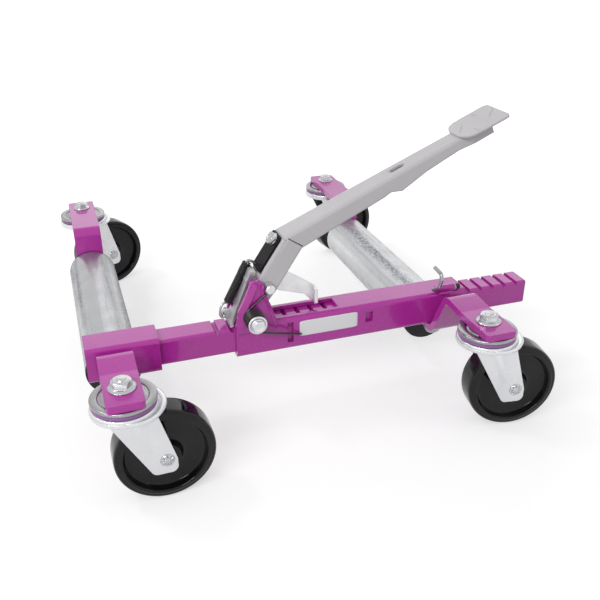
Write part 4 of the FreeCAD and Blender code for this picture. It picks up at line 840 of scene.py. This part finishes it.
class JACK_OT_fork_pressings(bpy.types.Operator):
    """A pressed rib on each fork leg: a pillow, (1 - v squared) squared across, that narrows downwards"""
    bl_idname = "jack.fork_pressings"
    bl_label = "Fork pressings"

    def execute(self, context):
        sizes = context.scene.jack_casters
        rows, columns, sunk = 36, 25, 0.0002
        begin_share, run_share, lean_share = 0.10, 0.50, 0.18
        skipped_share, fullness = 0.07, 0.7
        u, v = np.meshgrid(np.linspace(0, 1, rows), np.linspace(-1, 1, columns), indexing="ij")
        width = sizes.press_width - sizes.press_narrowing * u
        level = sizes.press_top - sizes.press_fall * u + lean_share * width * v
        along = np.clip(skipped_share + (1 - skipped_share) * u, 0, 1)
        swell = (1 - v ** 2) ** 2 * np.sin(math.pi * along) ** fullness
        faces = grid_faces(rows, columns)
        for tag in CASTERS:
            trail, axle = caster_frame(tag)
            foot = king_foot(tag)
            reach = np.linalg.norm((joint_place(f"{tag}_wheel_spin") - foot) * ON_FLOOR)
            run = reach * (begin_share + run_share * u) + width * v
            out = leg_face(tag) - sunk + sizes.press_height * swell
            middle = foot + trail * run[..., None] + UP * level[..., None]
            parts = [((middle - axle * out[..., None]).reshape(-1, 3), turned_over(faces)),
                     ((middle + axle * out[..., None]).reshape(-1, 3), faces)]
            ribs = smooth_object(f"{tag}_pressed_ribs", *join(parts), FINISHES["fork_zinc"])
            ride_on(ribs, f"{tag}_caster", "fork_zinc")
        return {"FINISHED"}


class JACK_OT_axle_stakes(bpy.types.Operator):
    """Staked axle ends: a low dome over the radius, less notches that follow the cosine of a multiple turn"""
    bl_idname = "jack.axle_stakes"
    bl_label = "Axle stakes"

    def execute(self, context):
        sizes = context.scene.jack_casters
        rows, columns, lifted, centre_share = 30, 128, 0.0001, 0.03
        rim_share, peak_share, peak_spread, edge_power = 0.78, 0.22, 0.3, 8
        notch_gain, notch_cut, notch_middle, notch_half = 1.6, 0.5, 0.62, 0.26
        share, turn = np.meshgrid(np.linspace(centre_share, 1, rows), ring_angles(columns), indexing="ij")
        notch = (np.clip(np.cos(sizes.notches * turn) * notch_gain - notch_cut, 0, 1)
                 * np.clip(1 - ((share - notch_middle) / notch_half) ** 4, 0, 1))
        dome = (rim_share + peak_share * np.exp(-(share / peak_spread) ** 2)) * (1 - share ** edge_power)
        flat_x, flat_y = sizes.stake_radius * share * np.cos(turn), sizes.stake_radius * share * np.sin(turn)
        faces = turned_over(grid_faces(rows, columns, close_columns=True)) + [list(range(columns))]
        for tag in CASTERS:
            axle = caster_frame(tag)[1]
            hub = joint_place(f"{tag}_wheel_spin")
            span = float(np.abs((node_points(f"{tag}_wheel_pin") - hub) @ axle).max())
            wall = leg_face(tag)
            height = (span - wall) * dome - sizes.notch_depth * notch + lifted
            local = np.stack([flat_x, flat_y, height], -1).reshape(-1, 3)
            stem, stem_faces = rod(sizes.axle_radius, -wall, wall, steps=40)
            parts = [(placed(stem, hub, axle, UP), stem_faces)]
            for way in (-axle, axle):
                parts.append((placed(local, hub + way * wall, way, UP), faces))
            stakes = smooth_object(f"{tag}_axle_stakes", *join(parts), FINISHES["zinc_steel"])
            ride_on(stakes, f"{tag}_caster", "zinc_steel", f"{tag}_wheel_pin")
        return {"FINISHED"}


# springs

class JACK_OT_pedal_spring(bpy.types.Operator):
    """The pedal's torsion spring: a helix round the pivot, a leg to the pawl pin and one on the tube"""
    bl_idname = "jack.pedal_spring"
    bl_label = "Pedal spring"

    def execute(self, context):
        sizes = context.scene.jack_springs
        radius, wire = sizes.twist_radius, sizes.twist_wire
        ear_gap_share, tube_gap_share, foot_pull = 1.5, 1.3, 0.35
        low, high = low_high("torsion_spring")
        centre = PIVOT * ON_MIDDLE
        to_pin = (PAWL_PIN - PIVOT) * ON_MIDDLE
        reach = np.linalg.norm(to_pin)
        leg_turn = math.atan2(to_pin[2], to_pin[0]) - math.asin(radius / reach)
        foot = np.array((high[0] - wire, TUBE[0][1] - tube_gap_share * wire, low[2] + wire))
        to_foot = foot * ON_MIDDLE - centre
        foot_turn = math.atan2(to_foot[2], to_foot[0]) + math.asin(radius / np.linalg.norm(to_foot))
        begin = leg_turn + math.pi / 2
        sweep = (foot_turn - math.pi / 2 - begin) % FULL_TURN + FULL_TURN * sizes.twist_turns
        first_turn = centre + AWAY * (EAR[0][1] - ear_gap_share * wire)
        turns = coil(first_turn, -AWAY, RIGHT, UP, radius, sizes.twist_pitch, begin, sweep, steps_per_turn=28)
        tip = turns[0] + slope(leg_turn) * (math.sqrt(reach ** 2 - radius ** 2) - sizes.twist_stop)
        way = slope(foot_turn)
        knee = turns[-1] + way * wire
        path = np.concatenate([tip[None], straight(tip, turns[0], steps=16), turns[1:],
                               straight(turns[-1], knee, steps=2),
                               curve_between(knee, way, foot, unit(foot - knee), steps=24, pull=foot_pull)])
        spring = smooth_object("wound_pedal_spring", *tube(path, wire, ring=12), FINISHES["black_spring"])
        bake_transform(spring)
        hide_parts("torsion_spring")
        return {"FINISHED"}


# lower hook: places along the coil, square to it and across it from the lug, in millimetres
CATCH_ROUTE = (
    (19.5, 1.25, 0), (14.5, 1.25, 0), (13.6, -2.0, 0), (12.6, -5.6, -0.4), (8.5, -7.4, -1.2),
    (3.5, -6.6, -2.4), (-1.2, -5.0, -3.3), (-3.6, -1.6, -3.6), (-2.2, 0.6, -3.4), (0, 0, -2.2),
    (0, 0, 2.6), (1.8, 0, 3.9), (6.0, 0, 4.0))


class JACK_OT_drawbar(bpy.types.Operator):
    """The drawbar spring: a helix with a wire hook drawn through it from each end"""
    bl_idname = "jack.drawbar"
    bl_label = "Drawbar spring"

    def execute(self, context):
        sizes = context.scene.jack_springs
        wire, hook_wire = sizes.coil_wire, sizes.hook_wire
        bar_pull, neck_pull, eye_pull, swell_share, catch_share = 0.8, 1.25, 1.4, 0.35, 1.15
        haul, up = slope(sizes.coil_slope), slope(context.scene.jack_frame.arm_slope)
        across, out = np.cross(AWAY, haul), np.cross(up, AWAY)
        lug, eye = HOLD_PIN * ON_MIDDLE + np.array(sizes.lug), np.array(sizes.eye)
        middle = lug + slope(sizes.pull_slope) * sizes.coil_middle
        half_length = haul * sizes.coil_pitch * sizes.coil_turns / 2
        begin, end = middle - half_length, middle + half_length
        turns = coil(begin, haul, across, -AWAY, sizes.coil_radius, sizes.coil_pitch, 0,
                     FULL_TURN * sizes.coil_turns, steps_per_turn=22)
        spring = smooth_object("wound_drawbar_spring", *tube(turns, wire, ring=9), FINISHES["black_spring"])
        offset, bar = across * sizes.hook_offset, AWAY * sizes.hook_bar
        past, bend = haul * (wire + hook_wire), haul * sizes.hook_bend
        foot = begin - past - offset
        eye_low = eye - (out + up) * sizes.eye_radius
        upper = np.concatenate([
            (foot + bar)[None], curve_between(foot + bar, -AWAY, foot + bend, haul, steps=8, pull=bar_pull),
            straight(foot + bend, end - offset, steps=12),
            curve_between(end - offset, haul, eye, -out, steps=16, pull=neck_pull),
            curve_between(eye, -out, eye_low, -up, steps=10, pull=eye_pull),
            straight(eye_low, eye_low - up * sizes.eye_tail, steps=2)])
        swell = np.clip(1 + swell_share * ((upper - end) @ haul) / sizes.swell_run, 1, 1 + swell_share)
        head = end + past + offset
        stem = np.concatenate([
            (head + bar)[None], curve_between(head + bar, -AWAY, head - bend, -haul, steps=8, pull=bar_pull),
            straight(head - bend, begin + haul * sizes.stem_stop + offset, steps=12)])
        points, faces = join([tube(upper, hook_wire * swell, ring=12), tube(stem, hook_wire, ring=10)])
        hook = smooth_object("upper_drawbar_hook", points, faces, FINISHES["hook_zinc"])
        for piece in (spring, hook):
            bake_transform(piece)
        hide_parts("drawbar_spring")
        route = np.array(CATCH_ROUTE) * MM
        path = cut_corners(lug + route[:, :1] * haul + route[:, 1:2] * across + route[:, 2:] * AWAY, rounds=3)
        points, faces = tube(path, hook_wire * catch_share, ring=12)
        catch = smooth_object("lower_drawbar_hook", points, faces, FINISHES["hook_zinc"])
        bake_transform(catch)
        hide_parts("drawbar_hooks")
        return {"FINISHED"}


# pieces on the frame and the pedal

class JACK_OT_welds(bpy.types.Operator):
    """Weld beads under the ears, along the latch barrel and where the near straps meet the rail"""
    bl_idname = "jack.welds"
    bl_label = "Weld beads"

    def execute(self, context):
        sizes = context.scene.jack_frame
        steps_per_ripple, calm_share, ripple_share, least_fade = 6, 0.86, 0.14, 0.25
        beads = []
        for word, wall in zip(ENDS, TUBE):
            low, high = low_high(f"pedal_ear_{word}")
            beads.append((f"{word}_ear_weld", "right_frame", low[0] + sizes.weld_inset,
                          high[0] - sizes.weld_inset, wall[1], low[2]))
        low, high = low_high("latch_barrel")
        axis = joint_place("latch_hinge")
        for word, sign in zip(ENDS, (-1, 1)):
            beads.append((f"latch_weld_{word}", "right_frame", low[0] + sizes.weld_inset,
                          high[0] - sizes.weld_inset, axis[1] + sign * sizes.latch_weld_out, TUBE[1][2]))
        for side, rail in (("right", "outer_tube"), ("left", "left_sleeve")):
            low, high = low_high(f"{side}_near_strap")
            corner = low_high(rail)[0]
            beads.append((f"{side}_strap_weld", f"{side}_frame", low[0] + sizes.strap_inset,
                          high[0] - sizes.strap_inset, corner[1] + sizes.strap_weld_in,
                          corner[2] + sizes.strap_weld_up))
        for name, body, left, right, y, z in beads:
            begin, end, span = np.array((left, y, z)), np.array((right, y, z)), right - left
            steps = int(span / sizes.ripple * steps_per_ripple)
            path = np.concatenate([begin[None], straight(begin, end, steps)])
            run = np.linspace(0, span, len(path))
            swell = np.abs(np.sin(math.pi * run / sizes.ripple)) ** 0.6
            fade = np.clip(np.minimum(run, span - run) / (2 * sizes.bead), least_fade, 1) ** 0.5
            radius = sizes.bead * fade * (calm_share + ripple_share * swell)
            bead = smooth_object(name, *tube(path, radius, ring=14), FINISHES["purple_paint"])
            ride_on(bead, body, "purple_paint")
        return {"FINISHED"}


# rings on the pivot bolt: radius and height in millimetres
COLLAR_SECTION = ((5.5, 0), (7.8, 0), (7.8, 2.5), (5.5, 2.5))
WASHER_SECTION = (
    (6.1, 0), (9.8, 0), (10.5, 0.5), (10.5, 1.4), (9.9, 1.9), (8.8, 2.0), (8.3, 1.5), (6.1, 1.5))


class JACK_OT_pivot_bolts(bpy.types.Operator):
    """Bevelled heads for the pedal's pivot bolt and elbow bolt, with shanks, collar, washer and nut"""
    bl_idname = "jack.pivot_bolts"
    bl_label = "Pedal bolts"

    def execute(self, context):
        sizes = context.scene.jack_bolts
        head_bevel, nut_bevel, elbow_bevel = 0.93, 0.95, 0.92
        hex_spoke, elbow_spoke = (0.9, 0, 0.35), (0, 0.9, 0.4)
        low, high = low_high("pedal_pivot_bolt")
        washer = low_high("pivot_washer")
        seat, nut_seat = washer[0][1], low_high("pedal_ear_far")[1][1]
        head = hex_head(sizes.pivot_flat, seat - low[1], sizes.pivot_flange, sizes.pivot_rise,
                        head_bevel, sizes.pivot_dish)
        nut = hex_head(sizes.pivot_nut_flat, high[1] - nut_seat, sizes.pivot_nut_flange,
                       sizes.pivot_nut_rise, nut_bevel, 0.0)
        shank = rod(sizes.pivot_shank, 0, nut_seat - seat, steps=40)
        collar = lathe(np.array(COLLAR_SECTION) * MM, steps=48)
        ring = lathe(np.array(WASHER_SECTION) * MM, steps=72)
        parts = []
        for (local, faces), level, way, spoke in (
                (head, seat, -AWAY, hex_spoke), (nut, nut_seat, AWAY, hex_spoke),
                (shank, nut_seat, -AWAY, RIGHT), (collar, EAR[0][1], -AWAY, RIGHT),
                (ring, washer[1][1], -AWAY, RIGHT)):
            parts.append((placed(local, PIVOT * ON_MIDDLE + AWAY * level, way, spoke), faces))
        bolt = smooth_object("bevelled_pivot_bolt", *join(parts), FINISHES["fork_zinc"])
        sharpen(bolt)
        ride_on(bolt, "right_frame", "zinc_steel", "pedal_pivot_bolt", "pivot_washer")
        out = np.cross(slope(context.scene.jack_frame.arm_slope), AWAY)
        seat = np.array(sizes.elbow_seat)
        head, head_faces = hex_head(sizes.elbow_flat, sizes.elbow_height, sizes.elbow_flange,
                                    sizes.elbow_rise, elbow_bevel, sizes.elbow_dish)
        shank, shank_faces = rod(sizes.elbow_shank, 0, sizes.elbow_length, steps=32)
        parts = [(placed(head, seat, out, elbow_spoke), head_faces),
                 (placed(shank, seat, -out, AWAY), shank_faces)]
        bolt = smooth_object("bevelled_elbow_bolt", *join(parts), FINISHES["zinc_steel"])
        sharpen(bolt)
        ride_on(bolt, "pedal", "zinc_steel", "elbow_bolt")
        return {"FINISHED"}


# ribs on the foot plate: places along the upper arm and across it from the elbow's corner, in millimetres
FOOT_RIB_LINES = (
    ((240.0, 13.0), (235.3, 5.5), (230.6, -0.3), (226.4, -4.6)),
    ((279.0, 9.8), (274.0, 4.7), (268.2, -0.6), (262.8, -6.6)),
    ((241.1, -8.0), (241.4, -13.6), (242.7, -18.9), (244.6, -22.4)),
    ((256.6, 20.0), (257.0, 19.3), (258.1, 15.5), (258.7, 11.5)))


def add_foot_ribs(sizes):
    """Low ribs along given lines on the foot plate."""
    run = slope(sizes.pedal_slope)
    rise = np.cross(run, AWAY)
    parts = []
    for line in FOOT_RIB_LINES:
        spots = cut_corners(np.array(line) * MM, rounds=3)
        points = np.array(sizes.elbow) + spots[:, :1] * run + spots[:, 1:] * AWAY + rise * sizes.plate_lift
        parts.append(rib(points, rise, sizes.rib_width, sizes.rib_height))
    ribs = smooth_object("foot_plate_ribs", *join(parts), FINISHES["pedal_paint"])
    ride_on(ribs, "pedal", "pedal_paint")


def add_elbow_lap(sizes):
    """A lap on each side of the arm, whose thickness dies out down the arm as (1 - u) to the power 1.5, with a
    dark wire along its upper edge: painted shade for the gap at the seam.
    """
    steps, first_row, rim_share, edge_share, sunk = 24, 0.002, 0.75, 0.08, 0.0002
    down = -slope(sizes.arm_slope)
    over = np.cross(AWAY, -down)
    corner = np.array(sizes.lap_corner)
    u = np.concatenate([(0.0, first_row), np.linspace(0.01, 1, steps)])
    v = np.concatenate([(0.0,), np.linspace(0.02, 0.98, steps), (1.0,)])
    rim = np.concatenate([(0.0, rim_share), np.ones(steps)])
    edge = np.clip(np.minimum(v, 1 - v) / edge_share, 0, 1) ** 0.5
    thick = (rim * (1 - u) ** 1.5)[:, None] * edge[None, :] * sizes.lap_height - sunk
    faces = grid_faces(len(u), len(v))
    seam_run = np.linspace(sizes.lap_begin + sizes.seam_inset,
                           sizes.lap_begin + sizes.lap_width - sizes.seam_inset, num=20)
    laps, seams = [], []
    low, high = low_high("lower_arm")
    for sign, wall in ((-1, low[1]), (1, high[1])):
        points = (corner + down * (u * sizes.lap_run)[:, None, None]
                  + over * (sizes.lap_begin + v * sizes.lap_width)[None, :, None]
                  + AWAY * (wall + sign * thick)[..., None])
        laps.append((points.reshape(-1, 3), faces if sign > 0 else turned_over(faces)))
        # painted shade: a thin dark wire just above the lap, sunk into the arm's side, stands for the shade in the
        # gap at the seam
        line = (corner - down * sizes.seam_up + over * seam_run[:, None]
                + AWAY * (wall - sign * sizes.seam_sunk))
        seams.append(tube(line, sizes.seam_wire, ring=8))
    seam = smooth_object("elbow_seam_painted_shade", *join(seams), FINISHES["black_bush"])
    ride_on(seam, "pedal", "pedal_paint")
    lap = smooth_object("elbow_lap", *join(laps), FINISHES["pedal_paint"])
    ride_on(lap, "pedal", "pedal_paint")


class JACK_OT_pedal_pressings(bpy.types.Operator):
    """Embossed ribs on the foot plate, and the lower arm's end lapped over the upper arm, with painted shade: a
    dark line along the seam
    """
    bl_idname = "jack.pedal_pressings"
    bl_label = "Pedal pressings"

    def execute(self, context):
        sizes = context.scene.jack_frame
        add_foot_ribs(sizes)
        add_elbow_lap(sizes)
        return {"FINISHED"}


# rims on an ear: shares of its width and height along an edge, share of the full rim width, and way inwards
EAR_RIMS = (
    (((0.012, 0.14), (0.065, 0.443), (0.247, 0.718), (0.40, 0.985)), 1.0, 1),
    (((0.99, 0.15), (0.841, 0.521), (0.71, 0.77), (0.70, 0.9)), 0.5, -1))


class JACK_OT_ear_rims(bpy.types.Operator):
    """Raised rims on the pedal ears: a wedge that climbs inwards and drops off, carried along each edge"""
    bl_idname = "jack.ear_rims"
    bl_label = "Ear rims"

    def execute(self, context):
        sizes = context.scene.jack_frame
        columns, crest_share, drop_share, sunk = 17, 0.82, 0.14, 0.0001
        fade_begin, fade_end = 0.04, 0.96
        u = np.linspace(0, 1, columns)
        wedge = np.clip(u / crest_share, 0, 1) ** 0.8 * np.clip((1 - u) / drop_share, 0, 1) ** 0.5
        for word, sign in zip(ENDS, (-1, 1)):
            low, high = low_high(f"pedal_ear_{word}")
            face = low[1] if sign < 0 else high[1]
            parts = []
            for shares, width_share, inward in EAR_RIMS:
                line = cut_corners(np.array(shares), rounds=3)
                path = np.stack([low[0] + line[:, 0] * (high[0] - low[0]), np.full(len(line), face),
                                 low[2] + line[:, 1] * (high[2] - low[2])], -1)
                inner = np.cross(unit(np.gradient(path, axis=0)), AWAY)
                inner *= np.sign(inner[:, :1]) * inward
                fade = np.sin(math.pi * np.linspace(fade_begin, fade_end, len(path))) ** 0.25
                height = wedge[None, :] * fade[:, None] * sizes.rim_height - sunk
                points = (path[:, None] + inner[:, None] * (u * sizes.rim_width * width_share)[None, :, None]
                          + AWAY * sign * height[..., None])
                faces = grid_faces(len(path), columns)
                if (sign < 0) != (inward > 0):
                    faces = turned_over(faces)
                parts.append((points.reshape(-1, 3), faces))
            rims = smooth_object(f"{word}_ear_rims", *join(parts), FINISHES["purple_paint"])
            ride_on(rims, "right_frame", "purple_paint")
        return {"FINISHED"}


class JACK_OT_blank_panel(bpy.types.Operator):
    """A blank panel on the tube's front: a rectangle rounded by |cos|^n + |sin|^n, with a crowned edge"""
    bl_idname = "jack.blank_panel"
    bl_label = "Blank panel"

    def execute(self, context):
        sizes = context.scene.jack_frame
        power, steps = 14, 160
        reach_shares, thick_shares = np.array((0.5, 0.9, 0.985, 1.0)), np.array((1.0, 1.0, 0.8, 0.0))
        share, turn = np.meshgrid(reach_shares, ring_angles(steps), indexing="ij")
        thick = np.broadcast_to(sizes.panel_thick * thick_shares[:, None], turn.shape)
        c, s = np.cos(turn), np.sin(turn)
        reach = (np.abs(c) ** power + np.abs(s) ** power) ** (-1 / power) * share
        middle = sizes.panel_place
        points = np.stack([middle[0] + sizes.panel_width * reach * c, TUBE[0][1] - thick,
                           middle[2] + sizes.panel_height * reach * s], -1).reshape(-1, 3)
        faces = turned_over(grid_faces(len(reach_shares), steps, close_columns=True)) + [list(range(steps))]
        panel = smooth_object("blank_front_panel", points, faces, FINISHES["blank_panel"])
        ride_on(panel, "right_frame", "purple_paint")
        return {"FINISHED"}


# stage

SENSOR_WIDTH = 36
# name, place, width and height, and share of the key lamp's power
LAMPS = (("key_lamp", (-1.35, -1.25, 1.4), (1.6, 0.25), 1.0),
         ("fill_lamp", (1.9, -0.7, 1.6), (0.7, 0.7), 0.06),
         ("glint_lamp", (-1.1, 0.7, 1.9), (0.3, 0.3), 0.2),
         ("back_lamp", (0.75, 2.2, 1.3), (2.4, 0.9), 0.2))


def seen_or(tree, seen, lit):
    """One strength for what the camera, gloss and glass see, another for what lights the object."""
    rays = tree.nodes.new("ShaderNodeLightPath")
    either = sums(tree, "MAXIMUM", rays.outputs["Is Camera Ray"], rays.outputs["Is Glossy Ray"])
    either = sums(tree, "MAXIMUM", either, rays.outputs["Is Transmission Ray"])
    return remap(tree, either, 0, 1, lit, seen)


def floor_finish():
    """Pale floor that keeps the shadow; its glow, for camera, gloss and glass only, grows outwards."""
    near, far, near_glow = 0.3, 1.2, 0.5
    material = bpy.data.materials.new("pale_floor")
    material.use_nodes = True
    tree = material.node_tree
    shader = tree.nodes["Principled BSDF"]
    for word, item in (("Base Color", (0.62, 0.62, 0.62)), ("Roughness", 0.9), ("Specular IOR Level", 0.1),
                       ("Emission Color", WHITE)):
        feed(tree, item, shader.inputs[word])
    distance = tree.nodes.new("ShaderNodeVectorMath")
    distance.operation = "LENGTH"
    feed(tree, tree.nodes.new("ShaderNodeTexCoord").outputs["Object"], distance.inputs[0])
    glow = remap(tree, distance.outputs["Value"], near, far, near_glow, 1.0)
    feed(tree, seen_or(tree, glow, 0.0), shader.inputs["Emission Strength"])
    return material


class JACK_OT_studio(bpy.types.Operator):
    """Pale floor, even white room, four lamps and the camera"""
    bl_idname = "jack.studio"
    bl_label = "Studio"

    def execute(self, context):
        scene, studio = context.scene, context.scene.jack_studio
        scene.view_settings.view_transform = "Standard"
        world = bpy.data.worlds.new("white_room")
        scene.world = world
        world.use_nodes = True
        tree = world.node_tree
        back = tree.nodes["Background"]
        feed(tree, WHITE, back.inputs["Color"])
        feed(tree, seen_or(tree, 1.0, studio.sky), back.inputs["Strength"])
        corners = np.array([(-1, -1, 0), (1, -1, 0), (1, 1, 0), (-1, 1, 0)]) * studio.floor_half
        floor = smooth_object("pale_floor", corners, [[0, 1, 2, 3]], floor_finish(), flat=True)
        for name, spot, size, power_share in LAMPS:
            lamp = bpy.data.lights.new(name, "AREA")
            lamp.shape = "RECTANGLE"
            lamp.size, lamp.size_y = size
            lamp.energy = studio.key * power_share
            item = bpy.data.objects.new(name, lamp)
            item.location = spot
            item.rotation_euler = (Vector(studio.target) - item.location).to_track_quat("-Z", "Y").to_euler()
            scene.collection.objects.link(item)
        lens = bpy.data.cameras.new("photo_camera")
        lens.sensor_width = SENSOR_WIDTH
        lens.lens = lens.sensor_width * studio.focus_share
        camera = bpy.data.objects.new("photo_camera", lens)
        turn = (Matrix.Rotation(-studio.yaw, 4, "Z") @ Matrix.Rotation(math.pi / 2 - studio.pitch, 4, "X")
                @ Matrix.Rotation(studio.roll, 4, "Z"))
        camera.matrix_world = Matrix.Translation(studio.eye) @ turn
        scene.collection.objects.link(camera)
        scene.camera = camera
        return {"FINISHED"}


PIECES = (JACK_OT_finishes, JACK_OT_wheels, JACK_OT_king_bolts, JACK_OT_top_races, JACK_OT_pedal_spring,
          JACK_OT_drawbar, JACK_OT_welds, JACK_OT_fork_pressings, JACK_OT_axle_stakes, JACK_OT_pivot_bolts,
          JACK_OT_pedal_pressings, JACK_OT_ear_rims, JACK_OT_blank_panel, JACK_OT_studio)


class JACK_PT_panel(bpy.types.Panel):
    """The jack's pieces in the order they are made"""
    bl_idname = "JACK_PT_panel"
    bl_label = "Positioning Jack"
    bl_space_type = "VIEW_3D"
    bl_region_type = "UI"
    bl_category = "Jack"

    def draw(self, context):
        for piece in PIECES:
            self.layout.operator(piece.bl_idname)


VALUES = {"jack_finish": JackFinish, "jack_casters": JackCasters, "jack_bolts": JackBolts,
          "jack_springs": JackSprings, "jack_frame": JackFrame, "jack_studio": JackStudio}
CLASSES = (*VALUES.values(), *PIECES, JACK_PT_panel)


def register():
    for item in CLASSES:
        bpy.utils.register_class(item)
    for word, kind in VALUES.items():
        setattr(bpy.types.Scene, word, PointerProperty(type=kind))


def unregister():
    for word in VALUES:
        delattr(bpy.types.Scene, word)
    for item in reversed(CLASSES):
        bpy.utils.unregister_class(item)


def main():
    """Register the add-on and make every piece."""
    register()
    for piece in PIECES:
        space, word = piece.bl_idname.split(".")
        getattr(getattr(bpy.ops, space), word)()


if __name__ == "__main__":
    main()
